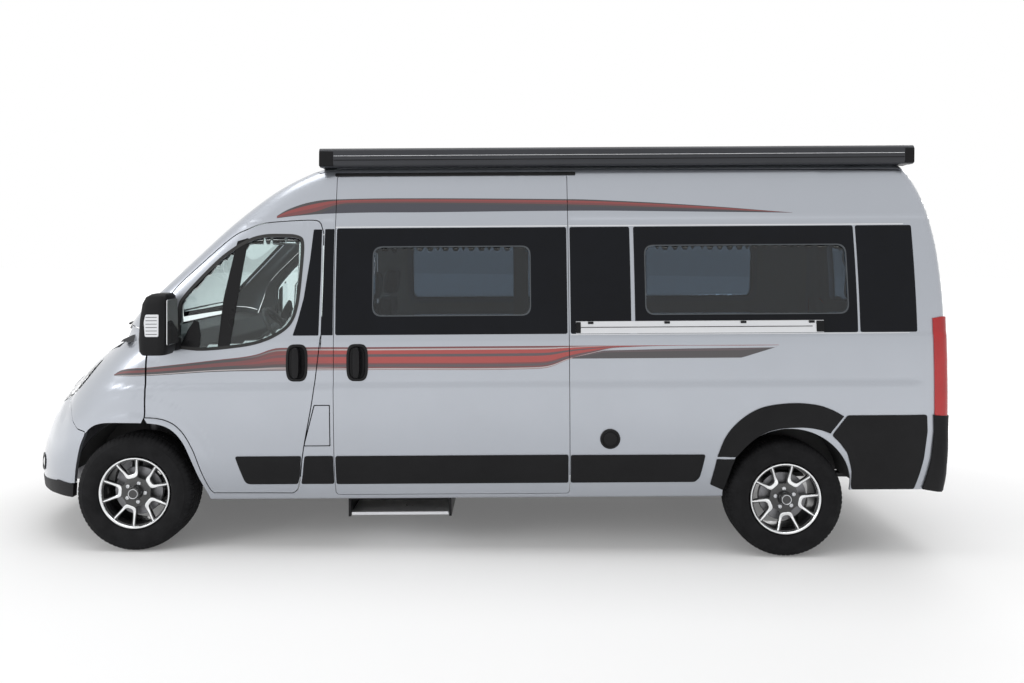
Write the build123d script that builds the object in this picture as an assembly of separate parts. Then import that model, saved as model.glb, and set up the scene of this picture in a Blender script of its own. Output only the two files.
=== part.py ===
"""High-roof camper van: body, doors, wheels, running gear and living-room furniture.

Units are mm. +Z is up, the nose points to -X and the van's left side is -Y. The origin lies on the
ground under the middle of the van. The body is modelled level and then tipped about the front axle
by body_rake, because the van stands a little higher at the tail; wheels and knuckles stay level.
"""

from build123d import *
import math
import os

# ---------------------------------------------------------------- driving dimensions
# Lengths along the van
front_overhang = 948.0
wheelbase = 4035.0
rear_overhang = 1015.0
body_rake = 0.9  # degrees, tail up

# Body cross-section
body_width = 2050.0  # at its widest height
widest_z = 985.0
side_radius = 6250.0  # curve of the sides
sill_z = 300.0
tuck_z = 420.0  # where the sill turns under
sill_tuck = 75.0
roof_z = 2450.0
crown_radius = 8300.0
corner_radius = 90.0
wall = 55.0  # body side with its lining
rear_wall = 60.0
nose_wall = 28.0
belt_z = 1325.0
window_top_z = 1995.0
gutter_z = 2345.0
floor_top_z = 500.0
floor_thickness = 60.0

# Gaps
shut_gap = 6.5  # round a door that opens
bonnet_gap = 8.0
fixed_gap = 4.0  # round the sliding door's outer skin
fit = 0.3  # between pieces that rest on each other
door_return = 14.0  # the inside of a door is this much smaller all round
skin = 12.0  # depth of a door's outer skin
glass = 6.0
glass_lap = 24.0  # width of the flange a pane is bonded to

# Wheels and axles
tyre_radius = 360.0
tyre_width = 225.0
rim_radius = 203.0  # bead seat
rim_flange = 221.0
rim_width = 170.0
front_track = 1810.0
rear_track = 1790.0
kingpin_y = 790.0
disc_radius = 150.0
arch_radius = 440.0  # front arch opening
rear_arch_radius = 395.0
liner_radius = 456.0
liner_thickness = 4.0
front_liner_y = 560.0  # inner wall of the front wheel box
rear_liner_y = 711.0

# Cab door: places along the van are measured from the front axle
door_front = 93.0
door_rear_belt = 1163.0
mirror_width = 190.0

# Sliding door and living-room windows
slide_door_front = 1245.0  # from the front axle
slide_door_width = 1449.0
slide_door_top = 2330.0
door_foot_z = 343.0
window_foot_z = 1444.0
window_head_z = 1877.0
window_corner = 60.0

# Tail doors
tail_door_half = 797.0
tail_door_foot = 545.0
tail_door_top = 2318.0

# Awning, step and roof lights
awning_length = 3735.0
awning_front = 1140.0  # from the front axle
awning_depth = 118.0
awning_width = 112.0
awning_y = 930.0
step_width = 648.0
step_travel_room = 5.0

# ---------------------------------------------------------------- worked-out places
overall_length = front_overhang + wheelbase + rear_overhang
nose_x = -overall_length / 2
front_axle_x = nose_x + front_overhang
rear_axle_x = front_axle_x + wheelbase
half_width = body_width / 2
rake = math.radians(body_rake)
# The rear hub seen from the level body, before it is tipped
rear_hub_x = front_axle_x + wheelbase * math.cos(rake)
rear_hub_z = tyre_radius - wheelbase * math.sin(rake)
tail_x = front_axle_x + wheelbase + rear_overhang - 20.0
SIDES = (("left", -1), ("right", 1))


def from_front(distance):
    """Station along the body, measured back from the front axle."""
    return front_axle_x + distance


def from_rear(distance):
    """Station along the body, measured back from the rear axle."""
    return rear_axle_x + distance


def side_y(z):
    """Half width of the outer skin at a height."""
    return half_width - side_radius + math.sqrt(side_radius**2 - (z - widest_z) ** 2)


# ---------------------------------------------------------------- body envelope
def roof_corner(inset):
    """Where the side's circle meets the roof crown's circle, both moved in by inset."""
    side = (half_width - side_radius, widest_z, side_radius - inset)
    crown = (0.0, roof_z - crown_radius, crown_radius - inset)
    gap_y = crown[0] - side[0]
    gap_z = crown[1] - side[1]
    apart = math.hypot(gap_y, gap_z)
    along = (side[2] ** 2 - crown[2] ** 2 + apart**2) / (2 * apart)
    across = math.sqrt(side[2] ** 2 - along**2)
    y = side[0] + (along * gap_y - across * gap_z) / apart
    z = side[1] + (along * gap_z + across * gap_y) / apart
    return y, z


def sill_points(inset):
    """Foot of the turned-under sill and its knee on the side's circle, moved in by inset."""
    foot_y = half_width - sill_tuck
    knee_y = side_y(tuck_z)
    lean = math.atan2(knee_y - foot_y, tuck_z - sill_z)
    shift = inset / math.cos(lean)
    foot = (foot_y - shift + inset * math.tan(lean), sill_z + inset)
    knee = (knee_y - shift + inset * math.tan(lean) / 2, tuck_z + inset / 2)
    centre_y = half_width - side_radius
    on_circle = centre_y + math.sqrt((side_radius - inset) ** 2 - (knee[1] - widest_z) ** 2)
    return foot, (on_circle, knee[1])


def section_face(inset=0.0):
    """Cross-section of the body in the YZ plane, moved in by inset."""
    foot, knee = sill_points(inset)
    high = roof_corner(inset)
    widest = (half_width - inset, widest_z)
    edges = [
        Line((-foot[0], foot[1]), foot),
        Line(foot, knee),
        ThreePointArc(knee, widest, high),
        ThreePointArc(high, (0, roof_z - inset), (-high[0], high[1])),
        ThreePointArc((-high[0], high[1]), (-widest[0], widest_z), (-knee[0], knee[1])),
        Line((-knee[0], knee[1]), (-foot[0], foot[1])),
    ]
    face = make_face(edges)
    corners = [v for v in face.vertices() if abs(v.Y - high[1]) < 1]
    return fillet(corners, corner_radius - inset)


# Windscreen and header, centreline: distance from front axle, height, radius across the van
SCREEN = (
    (-279.0, 1360.0, 4100.0),
    (551.0, 2130.0, 5500.0),
    (901.0, 2350.0, 7500.0),
    (1181.0, 2450.0, 0.0),
)
SCREEN_ROOT = -352.0  # front limit of the cab shell, from the front axle


def screen_cylinder(index, inset):
    """Big cylinder whose skin is one band of the windscreen and header."""
    x, z, radius = SCREEN[index]
    x_next, z_next, _ = SCREEN[index + 1]
    slope = math.atan2(z_next - z, x_next - x)
    centre = (
        from_front(x) + radius * math.sin(slope),
        0,
        z - radius * math.cos(slope),
    )
    axis = (math.cos(slope), 0, math.sin(slope))
    return Plane(origin=centre, z_dir=axis) * Cylinder(radius - inset, 5 * overall_length)


def tail_block(inset):
    """Everything ahead of the tail surface, moved forward by inset."""
    top_x = tail_x - 195.0
    profile = [
        Line((nose_x - 500, 0), (tail_x - 5, 0)),
        Line((tail_x - 5, 0), (tail_x, widest_z)),
        Line((tail_x, widest_z), (tail_x, 1450)),
        ThreePointArc((tail_x, 1450), (tail_x - 9, 1690), (tail_x - 31, 1925)),
        ThreePointArc((tail_x - 31, 1925), (tail_x - 88, 2175), (top_x, 2400)),
        Line((top_x, 2400), (top_x - 60, 2600)),
        Line((top_x - 60, 2600), (nose_x - 500, 2600)),
        Line((nose_x - 500, 2600), (nose_x - 500, 0)),
    ]
    block = extrude(Plane.XZ.offset(-body_width) * make_face(profile), 2 * body_width)
    return block.moved(Location((-inset, 0, 0)))


def van_shape(inset=0.0, tail_inset=0.0):
    """Body from the windscreen root to the tail as one solid, moved in by inset."""
    start = from_front(SCREEN_ROOT) - inset
    length = tail_x + 400 - start
    shape = extrude(Plane.YZ.offset(start) * section_face(inset), length)
    for index in range(len(SCREEN) - 1):
        shape = shape & screen_cylinder(index, inset)
    return shape & tail_block(tail_inset)


def straight_shape(inset):
    """The plain cross-section run past both ends, for layers of the sides."""
    start = nose_x - 200
    length = overall_length + 400
    solid = extrude(Plane.YZ.offset(start) * section_face(inset), length)
    knee_y, knee_z = sill_points(inset)[1]
    below = Pos(start + length / 2, 0, knee_z / 2) * Box(length, 2 * knee_y, knee_z)
    return solid + below if inset > 0 else solid


# Nose sections: distance from front axle, half width, foot, shoulder, bonnet edge y and z, top
NOSE = (
    (-944.0, 200.0, 330.0, 500.0, 150.0, 600.0, 610.0),
    (-899.0, 400.0, 250.0, 520.0, 260.0, 700.0, 730.0),
    (-809.0, 590.0, 232.0, 550.0, 380.0, 800.0, 860.0),
    (-669.0, 770.0, 235.0, 580.0, 480.0, 930.0, 1010.0),
    (-509.0, 890.0, 240.0, 650.0, 560.0, 1060.0, 1150.0),
    (-349.0, 955.0, 250.0, 760.0, 660.0, 1180.0, 1262.0),
    (-149.0, 1000.0, 275.0, 900.0, 800.0, 1310.0, 1385.0),
    (91.0, 1022.0, 300.0, 1150.0, 940.0, 1335.0, 1400.0),
)
NOSE_SILL = 130.0  # height of the turned-under foot of each section


def nose_section(row, inset):
    """One closed section of the nose; its half width follows the body width."""
    x, width, foot, shoulder, edge_y, edge_z, top = row
    width = width * body_width / 2050.0 - inset
    shoulder = shoulder - inset / 2
    edge_y = edge_y * body_width / 2050.0 - inset * 0.6
    edge_z = edge_z - inset
    top = top - inset
    bulge = math.sqrt(0.5)
    middle_y = edge_y + (width - edge_y) * bulge
    middle_z = shoulder + (edge_z - shoulder) * bulge
    low = (width - 35, foot)
    knee = (width, foot + NOSE_SILL)
    hip = (width, shoulder)
    edges = [
        Line((-low[0], foot), low),
        Line(low, knee),
        Line(knee, hip),
        ThreePointArc(hip, (middle_y, middle_z), (edge_y, edge_z)),
        ThreePointArc((edge_y, edge_z), (0, top), (-edge_y, edge_z)),
        ThreePointArc((-edge_y, edge_z), (-middle_y, middle_z), (-width, shoulder)),
        Line((-width, shoulder), (-width, knee[1])),
        Line((-width, knee[1]), (-low[0], foot)),
    ]
    return Plane.YZ.offset(from_front(x)) * make_face(edges)


def nose_shape(inset=0.0):
    """Nose of the van as one lofted solid, moved in by inset."""
    rows = NOSE if inset == 0 else NOSE[1:]
    return loft([nose_section(row, inset) for row in rows], ruled=True)


# ---------------------------------------------------------------- helpers
def grown(points, amount):
    """Polygon with every edge moved out by amount."""
    area = sum(a[0] * b[1] - b[0] * a[1] for a, b in zip(points, points[1:] + points[:1]))
    turn = amount if area > 0 else -amount
    result = []
    for before, here, after in zip(points[-1:] + points[:-1], points, points[1:] + points[:1]):
        first = math.atan2(here[1] - before[1], here[0] - before[0])
        second = math.atan2(after[1] - here[1], after[0] - here[0])
        half = (second - first + math.pi) % (2 * math.pi) - math.pi
        reach = turn / math.cos(half / 2)
        angle = first + half / 2 - math.pi / 2
        result.append((here[0] + reach * math.cos(angle), here[1] + reach * math.sin(angle)))
    return result


def outline(points, radius=0.0, grow=0.0):
    """Closed outline through points, grown by an amount, with its corners rounded."""
    face = make_face(Polyline(*grown(list(points), grow), close=True))
    if radius:
        face = fillet(face.vertices(), radius)
    return face


def side_prism(face, side, inner=0.0):
    """Side-view outline (x, z) run out through one side of the van."""
    reach = body_width - inner
    if side < 0:
        return extrude(Plane.XZ.offset(inner) * face, reach)
    return extrude(Plane.XZ.offset(-inner) * face, -reach)


def tail_prism(face):
    """Rear-view outline (y, z) run out through the tail."""
    return extrude(Plane.YZ.offset(tail_x - 400) * face, 800)


def box(x, y, z):
    """Box from three (low, high) pairs."""
    size = (x[1] - x[0], y[1] - y[0], z[1] - z[0])
    centre = ((x[0] + x[1]) / 2, (y[0] + y[1]) / 2, (z[0] + z[1]) / 2)
    return Pos(*centre) * Box(*size)


def on_side(side, near, far):
    """(low, high) pair of y for distances from the centreline on one side."""
    return (near, far) if side > 0 else (-far, -near)


def disc_y(x, y, z, radius, length):
    """Cylinder along Y, centred at y."""
    return Pos(x, y, z) * Rot(90, 0, 0) * Cylinder(radius, length)


def rod(start, end, radius):
    """Round bar between two points."""
    start = Vector(*start)
    run = Vector(*end) - start
    plane = Plane(origin=start, z_dir=run)
    return plane * Cylinder(radius, run.length, align=(Align.CENTER, Align.CENTER, Align.MIN))


def rounded_box(x, y, z, radius):
    """Box with all edges rounded, for cushions and housings."""
    block = box(x, y, z)
    return fillet(block.edges(), radius)


os.makedirs("parts", exist_ok=True)


def tipped(shape):
    """The level body piece, tipped by the rake about the front axle."""
    axis = Axis((front_axle_x, 0, tyre_radius), (0, 1, 0))
    return shape.rotate(axis, -body_rake)


def save(name, pieces, level=False):
    """Write one node; body pieces are tipped by the rake first."""
    solids = [s for piece in pieces for s in piece.solids()]
    if not level:
        solids = [tipped(s) for s in solids]
    export_step(Compound(solids), f"parts/{name}.step")


# ---------------------------------------------------------------- shells
outer = van_shape()
outer_ahead = van_shape(0.0, rear_wall + fit)
lined = van_shape(wall + fit, rear_wall + fit)
shell = outer_ahead - van_shape(wall, rear_wall + fit - 100)
skin_core = straight_shape(skin)
wall_core = straight_shape(wall)
glass_core = straight_shape(glass)
rebate_core = straight_shape(glass + fit)
nose_outer = nose_shape()
nose_inner = nose_shape(nose_wall)
nose_skin = nose_outer - nose_inner

slide_front = from_front(slide_door_front)
slide_rear = slide_front + slide_door_width
cab_rear = from_front(1085.0)  # joint between cab frame and side panels, above the door
screen_foot_z = 1290.0  # foot of the cab shell
panel_front = from_front(445.0)

# ---------------------------------------------------------------- door and window outlines
DOOR = (
    (door_front, 1243.0),
    (door_front - 2, 833.0),
    (260.0, 795.0),
    (413.0, 504.0),
    (443.0, door_foot_z + 10),
    (971.0, door_foot_z),
    (1062.0, 685.0),
    (1144.0, 993.0),
    (door_rear_belt, 1348.0),
    (1171.0, 2050.0),
    (807.0, 2028.0),
    (597.0, 1943.0),
    (241.0, 1598.0),
)
DOOR_GLASS = (
    (306.0, 1248.0),
    (716.0, 1270.0),
    (978.0, 1391.0),
    (1050.0, 1934.0),
    (762.0, 1948.0),
    (559.0, 1842.0),
    (316.0, 1560.0),
)
door_points = [(from_front(x), z) for x, z in DOOR]
glass_points = [(from_front(x), z) for x, z in DOOR_GLASS]
door_face = outline(door_points, 18.0)
door_core_face = outline(door_points, 18.0, -door_return)
door_hole_face = outline(door_points, 18.0, shut_gap)
door_pane_face = outline(glass_points, 40.0)
door_pane_hole = outline(glass_points, 40.0, -glass_lap)
door_rebate_face = outline(glass_points, 40.0, fit)


def rectangle(x, z):
    """Corner points of an upright rectangle."""
    return [(x[0], z[0]), (x[1], z[0]), (x[1], z[1]), (x[0], z[1])]


slide_points = rectangle((slide_front, slide_rear), (door_foot_z - 8, slide_door_top))
slide_face = outline(slide_points, 25.0)
slide_seal_face = outline(slide_points, 25.0, fixed_gap - fit)
slide_hole_face = outline(slide_points, 25.0, fixed_gap)

# Panes: name, front and rear from the named axle, and the see-through opening inside each
band = (belt_z + 6, window_top_z - 4)
opening_z = (window_foot_z, window_head_z)
PANES = (
    ("lounge", (slide_front + 8, slide_rear - 8), (slide_front + 235, slide_rear - 232)),
    ("blank", (slide_rear + 12, slide_rear + 386), None),
    ("rear_room", (slide_rear + 410, from_rear(442)), (slide_rear + 474, from_rear(391))),
    ("quarter", (from_rear(456), from_rear(806)), None),
)


def cut_for_pane(panel, span, opening, side):
    """Rebate for a pane and, where one is given, the opening inside it."""
    seat = outline(rectangle(span, band), 12.0, fit)
    panel = panel - (side_prism(seat, side, 500) - rebate_core)
    if opening:
        hole = outline(rectangle(opening, opening_z), window_corner)
        panel = panel - side_prism(hole, side, 500)
    return panel


def pane(span, side):
    """Flush side pane."""
    face = outline(rectangle(span, band), 12.0)
    return (side_prism(face, side, 500) & outer_ahead) - glass_core


# ---------------------------------------------------------------- floor and underbody
def wheel_box(x, z, radius, side, inner):
    """Room that a wheel housing takes out of floor and furniture."""
    far = body_width
    room = disc_y(x, side * (inner + far) / 2, z, radius, far - inner)
    below = box((x - radius, x + radius), on_side(side, inner, far), (z - 2 * radius, z))
    return room + below


liner_outer = liner_radius + liner_thickness
rear_liner_radius = liner_radius - 21
rear_liner_z = rear_hub_z + 20  # middle of the rear housing
liner_room = liner_thickness + fit
front_box = {
    s: wheel_box(front_axle_x, tyre_radius, liner_outer + fit, s, front_liner_y - liner_room)
    for _, s in SIDES
}
rear_box = {
    s: wheel_box(rear_hub_x, rear_liner_z, rear_liner_radius + liner_room, s, rear_liner_y - liner_room)
    for _, s in SIDES
}
firewall_x = from_front(-199.0)
firewall_thickness = 20.0
footwell_rear = from_front(120.0)
chassis_rail_y = (410.0, 490.0)
chassis_rail_depth = 75.0

# Bonnet hinges: axis across the van, lugs on the bonnet and brackets on the firewall
bonnet_hinge = (from_front(-318.0), 1222.0)
BONNET_LUG_Y = (252.0, 260.0)
BONNET_BRACKET_Y = (264.0, 272.0)
bonnet_pin = 4.0


def make_floor():
    """Floor slab with its two chassis rails and the firewall."""
    low = floor_top_z - floor_thickness
    slab = lined & box((footwell_rear, tail_x), (-half_width, half_width), (low, floor_top_z))
    slab = slab + box((firewall_x, footwell_rear), (-860, 860), (low, floor_top_z))
    for _, side in SIDES:
        rail_y = on_side(side, *chassis_rail_y)
        slab = slab + box((firewall_x, tail_x - 120), rail_y, (low - chassis_rail_depth, low))
        slab = slab - front_box[side] - rear_box[side]
    return slab


def make_firewall():
    """Bulkhead between engine bay and cab, with the two bonnet hinge brackets."""
    wall_front = firewall_x - firewall_thickness
    room = box((wall_front, firewall_x), (-820, 820), (380, 1275))
    for _, side in SIDES:
        room = room - front_box[side]
    room = room & nose_shape(nose_wall + fit)
    x, z = bonnet_hinge
    for _, side in SIDES:
        bracket_y = on_side(side, *BONNET_BRACKET_Y)
        room = room + box((x - bonnet_pin, wall_front + 5), bracket_y, (z - 10, z + bonnet_pin))
        pin_end = side * (BONNET_LUG_Y[0] - 2)
        room = room + rod((x, pin_end, z), (x, side * BONNET_BRACKET_Y[0] + side * 2, z), bonnet_pin)
    return room


def liner(x, z, radius, side, inner, outer_y, foot):
    """Wheel housing: a half tunnel over the wheel with its inner wall."""
    middle = side * (inner + outer_y) / 2
    width = outer_y - inner
    tunnel = disc_y(x, middle, z, radius + liner_thickness, width)
    tunnel = tunnel - disc_y(x, middle, z, radius, width + 2)
    wall_y = side * (inner - liner_thickness / 2)
    plate = disc_y(x, wall_y, z, radius + liner_thickness, liner_thickness)
    ring = tunnel + plate
    keep = box((x - 600, x + 600), on_side(side, 0, body_width), (foot, z + 700))
    return ring & keep


def strut_tower(side):
    """Seat in the housing roof for the top of a front strut."""
    y = side * (kingpin_y - 65)
    return rod((front_axle_x, y, 800), (front_axle_x, y, tyre_radius + liner_radius + 2), 95)


def make_housings():
    """Four wheel housings."""
    result = []
    for _, side in SIDES:
        front = liner(front_axle_x, tyre_radius, liner_radius, side, front_liner_y, 862, 470)
        result.append(front + strut_tower(side))
        rear = liner(rear_hub_x, rear_liner_z, rear_liner_radius, side, rear_liner_y, 950, 400)
        result.append(rear & lined)
    return result


save("floor_pan", [make_floor() + make_firewall()])
save("wheel_housings", make_housings())

# ---------------------------------------------------------------- body panels
front_arch = {
    s: disc_y(from_front(10), s * 900, tyre_radius + 3, arch_radius, 500)
    for _, s in SIDES
}
rear_arch = {
    s: disc_y(rear_hub_x + 8, s * 950, rear_hub_z + 53, rear_arch_radius, 500)
    for _, s in SIDES
}

tail_lamp_points = [
    (tail_x - 98, 820),
    (tail_x + 40, 820),
    (tail_x + 40, 1345),
    (tail_x - 98, 1411),
]
lamp_face = outline(tail_lamp_points, 14.0)
lamp_face_grown = outline(tail_lamp_points, 14.0, fit)
lamp_front_y = half_width - 200
lamp_stand = 20.0  # how far a tail lamp stands out at the back
lamp_depth = 42.0


def corner_room(face, side, near, depth):
    """Side-view outline limited to the tail corner, with the body behind it taken away."""
    room = side_prism(face, side, near)
    return room - (straight_shape(depth) & tail_block(depth))


flap_points = [
    (from_front(1123), 907),
    (from_front(1223), 907),
    (from_front(1223), 650),
    (from_front(1055), 650),
]
flap_gap = 5.0
flap_face = outline(flap_points, 6.0, -flap_gap)
flap_hole_face = outline(flap_points, 6.0)
flap_depth = 42.0
flap_axis_x = from_front(1223) - flap_gap / 2
flap_pin_z = (740.0, 820.0)
pin_radius = 1.6  # of the cab door and fuel flap hinges


def flap_pin():
    """Hinge pin of the fuel flap, on a tab that grows from the panel behind it."""
    reach = (-half_width - pin_radius, -half_width + skin)
    tab = box((flap_axis_x, flap_axis_x + 7), reach, flap_pin_z)
    low, high = flap_pin_z
    return tab + rod((flap_axis_x, -half_width, low), (flap_axis_x, -half_width, high), pin_radius)


def make_side_panel(side):
    """Body side behind the cab door, with its openings."""
    points = [
        (panel_front, sill_z - 10),
        (panel_front, 900),
        (cab_rear, 900),
        (cab_rear, gutter_z),
        (tail_x + 50, gutter_z),
        (tail_x + 50, sill_z - 10),
    ]
    panel = shell & side_prism(outline(points), side, 0.0)
    panel = panel - side_prism(door_hole_face, side, 500) - rear_arch[side]
    panel = panel - corner_room(lamp_face_grown, side, lamp_front_y - fit, lamp_depth + fit)
    panel = panel - box((nose_x, tail_x), (-880, 880), (sill_z - 20, floor_top_z))
    for name, span, opening in PANES:
        if name == "lounge" and side < 0:
            panel = panel - side_prism(slide_hole_face, side, 500)
            continue
        panel = cut_for_pane(panel, span, opening, side)
    if side < 0:
        panel = panel - (side_prism(flap_hole_face, side, 500) - straight_shape(flap_depth))
        panel = panel + flap_pin()
    return panel


for label, side in SIDES:
    save(f"side_panel_{label}", [make_side_panel(side)])


def layered_door(face, core_face, side):
    """Door leaf: a thin outer skin and a smaller or larger body behind it."""
    body = (side_prism(face, side, 790) & outer_ahead) - skin_core
    core = (side_prism(core_face, side, 790) & skin_core) - wall_core
    return body + core


def make_sliding_door():
    """Sliding door with its outer skin, inner frame and rubber seal."""
    door = layered_door(slide_face, slide_seal_face, -1)
    _, span, opening = PANES[0]
    return cut_for_pane(door, span, opening, -1)


save("sliding_door", [make_sliding_door()])
save("side_windows", [pane(span, side) for _, side in SIDES for _, span, _ in PANES])


def make_roof():
    """Roof skin behind the cab header."""
    room = box((cab_rear, tail_x), (-body_width, body_width), (gutter_z, roof_z + 50))
    return shell & room


save("roof", [make_roof()])

# Windscreen opening seen from ahead: half width and height of each corner
SCREEN_GLASS = ((845.0, 1378.0), (700.0, 2092.0))


def screen_face(grow, radius):
    """Windscreen outline seen from ahead."""
    (low_y, low_z), (high_y, high_z) = SCREEN_GLASS
    low_y = low_y + half_width - 1025.0
    high_y = high_y + half_width - 1025.0
    points = [(-low_y, low_z), (low_y, low_z), (high_y, high_z), (-high_y, high_z)]
    return outline(points, radius, grow)


def screen_prism(grow, radius=70.0):
    """Windscreen outline run back through the cab front."""
    face = screen_face(grow, radius)
    return extrude(Plane.YZ.offset(from_front(-700)) * face, 700 + 900)


scuttle_top = 1365.0
scuttle_rear = from_front(-80.0)


def make_cab_frame():
    """Pillars, header and door frames round the cab."""
    room = box((nose_x, cab_rear), (-body_width, body_width), (screen_foot_z, roof_z + 50))
    frame = shell & room
    for _, side in SIDES:
        frame = frame - side_prism(door_hole_face, side, 500)
    frame = frame - (screen_prism(fit) - screen_cylinder(0, glass + fit))
    frame = frame - screen_prism(-glass_lap)
    return frame - box((nose_x, scuttle_rear), (-body_width, body_width), (0, scuttle_top))


def make_scuttle():
    """Grille panel at the foot of the windscreen."""
    low = box((nose_x, scuttle_rear - fit), (-body_width, body_width), (screen_foot_z, scuttle_top - fit))
    return shell & low


def make_windscreen():
    """Curved windscreen."""
    return (screen_prism(0.0) & outer) - screen_cylinder(0, glass)


save("cab_frame", [make_cab_frame()])
save("scuttle", [make_scuttle()])
save("windscreen", [make_windscreen()])

# ---------------------------------------------------------------- nose panels
bonnet_half = 600.0
bonnet_rear = (from_front(-352.0), 1268.0)
bonnet_front = (from_front(-745.0), 960.0)
bonnet_slope = math.atan2(bonnet_rear[1] - bonnet_front[1], bonnet_rear[0] - bonnet_front[0])
bonnet_length = math.hypot(bonnet_rear[0] - bonnet_front[0], bonnet_rear[1] - bonnet_front[1])
lamp_inner = 612.0


def bonnet_prism(grow):
    """Bonnet outline run square to its slope."""
    normal = (-math.sin(bonnet_slope), 0, math.cos(bonnet_slope))
    middle = ((bonnet_rear[0] + bonnet_front[0]) / 2, 0, (bonnet_rear[1] + bonnet_front[1]) / 2)
    plane = Plane(origin=middle, x_dir=(0, 1, 0), z_dir=normal)
    size = (2 * bonnet_half + 2 * grow, bonnet_length + 2 * grow, 400)
    return plane * Box(*size)


LAMP = ((-735.0, 890.0), (-700.0, 845.0), (-420.0, 1010.0), (-395.0, 1085.0), (-560.0, 1150.0))
lamp_points = [(from_front(x), z) for x, z in LAMP]
BUMPER = (
    (-1000.0, 200.0),
    (-1000.0, 700.0),
    (-850.0, 985.0),
    (-735.0, 985.0),
    (-735.0, 890.0),
    (-700.0, 845.0),
    (-560.0, 790.0),
    (-460.0, 650.0),
    (-380.0, 200.0),
)
bumper_points = [(from_front(x), z) for x, z in BUMPER]
grille_half = 470.0
grille_z = (300.0, 820.0)


def both_sides(face):
    """Side-view outline run through the whole width."""
    return extrude(Plane.XZ.offset(-body_width) * face, 2 * body_width)


nose_less_bonnet = nose_skin - bonnet_prism(bonnet_gap)
lamp_room = both_sides(outline(lamp_points, 12.0)) - box(
    (nose_x, 0), (-lamp_inner, lamp_inner), (0, 2000)
)
bumper_room = both_sides(outline(bumper_points))
grille_face = outline(
    [(-330, grille_z[0]), (330, grille_z[0]), (grille_half, grille_z[1]), (-grille_half, grille_z[1])],
    40.0,
)
grille_room = extrude(Plane.YZ.offset(nose_x - 200) * grille_face, 500)


def make_bonnet():
    """Bonnet panel with its two hinge lugs."""
    bonnet = nose_skin & bonnet_prism(0.0)
    x, z = bonnet_hinge
    for _, side in SIDES:
        lug_y = on_side(side, *BONNET_LUG_Y)
        middle = sum(lug_y) / 2
        width = lug_y[1] - lug_y[0]
        lug = box((x - 30, x), lug_y, (z - 4, z + 12)) + disc_y(x, middle, z, 9, width)
        bonnet = bonnet + (lug - disc_y(x, middle, z, bonnet_pin + fit, width + 2))
    return bonnet


PIN_SPANS = ((880.0, 940.0), (1120.0, 1180.0))
cab_axis_x = from_front(door_front) - shut_gap / 2


def door_pins(side):
    """Hinge pins of a cab door, on tabs that grow from the wing's rear edge."""
    tabs = None
    for low, high in PIN_SPANS:
        reach = on_side(side, half_width - skin, half_width + pin_radius)
        tab = box((cab_axis_x - 7, cab_axis_x), reach, (low, high))
        pin_y = side * half_width
        tab = tab + rod((cab_axis_x, pin_y, low), (cab_axis_x, pin_y, high), pin_radius)
        tabs = tab if tabs is None else tabs + tab
    return tabs


def make_wings():
    """Front wings with the strip that runs down behind each wheel."""
    cab_shell = outer & box((nose_x, 0), (-body_width, body_width), (screen_foot_z - 5, roof_z))
    wings = nose_less_bonnet - bumper_room - lamp_room - cab_shell
    wings = wings - box((nose_x, 0), (-bonnet_half - 14, bonnet_half + 14), (0, 2000))
    result = []
    for _, side in SIDES:
        half = wings & box((nose_x, 0), on_side(side, 0, body_width), (0, 2000))
        half = half - front_arch[side] - side_prism(door_hole_face, side, 400)
        half = half & box((nose_x, from_front(91)), (-body_width, body_width), (500, 2000))
        strip_x = (from_front(91), panel_front - fit)
        strip_room = box(strip_x, on_side(side, 870, body_width), (sill_z - 9, 900))
        strip = (shell & strip_room) - front_arch[side] - side_prism(door_hole_face, side, 400)
        result.append(half + strip + door_pins(side))
    return result


def make_bumper():
    """Front bumper with the grille opening."""
    bumper = (nose_less_bonnet & bumper_room) - lamp_room - grille_room
    for _, side in SIDES:
        bumper = bumper - front_arch[side]
    return bumper


def make_grille():
    """Grille insert, set a little back."""
    depth = 10.0
    back = nose_skin.moved(Location((depth, 0, 0)))
    return back & nose_skin & grille_room


def make_headlamps():
    """Two headlamp units."""
    return nose_less_bonnet & lamp_room


save("bonnet", [make_bonnet()])
save("wings", make_wings())
save("front_bumper", [make_bumper()])
save("grille", [make_grille()])
save("headlamps", [make_headlamps()])

# ---------------------------------------------------------------- cab doors and mirrors
def make_cab_door(side):
    """Cab door with its window cut and its hinge tabs."""
    door = layered_door(door_face, door_core_face, side)
    door = door - (side_prism(door_rebate_face, side, 790) - rebate_core)
    door = door - side_prism(door_pane_hole, side, 790)
    tab_x = (cab_axis_x + pin_radius + fit, cab_axis_x + 6)
    for low, high in PIN_SPANS:
        reach = on_side(side, half_width - skin + 2, half_width + pin_radius)
        door = door + box(tab_x, reach, (low, high))
    return door


def make_mirror(side):
    """Door mirror housing on its arm."""
    near = half_width + 38
    shell_x = (from_front(146), from_front(318))
    housing = rounded_box(shell_x, on_side(side, near, near + mirror_width), (1238, 1606), 34)
    arm = box((from_front(236), from_front(300)), on_side(side, 960, near + 30), (1292, 1384))
    return (housing + arm) - straight_shape(-fit)


for label, side in SIDES:
    save(f"cab_door_{label}", [make_cab_door(side)])
    save(f"cab_glass_{label}", [(side_prism(door_pane_face, side, 790) & outer_ahead) - glass_core])
    save(f"mirror_{label}", [make_mirror(side)])



def make_fuel_flap():
    """Fuel flap with its hinge tab."""
    flap = (side_prism(flap_face, -1, 790) & outer_ahead) - skin_core
    tab_x = (flap_axis_x - 5, flap_axis_x - pin_radius - fit)
    return flap + box(tab_x, (-half_width - pin_radius, -half_width + skin - 4), flap_pin_z)


save("fuel_flap", [make_fuel_flap()])

# ---------------------------------------------------------------- tail
def make_tail_lamp(side):
    """Wrap-round tail lamp."""
    room = corner_room(lamp_face, side, lamp_front_y, lamp_depth)
    return room & straight_shape(-5.0) & tail_block(-lamp_stand)


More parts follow.
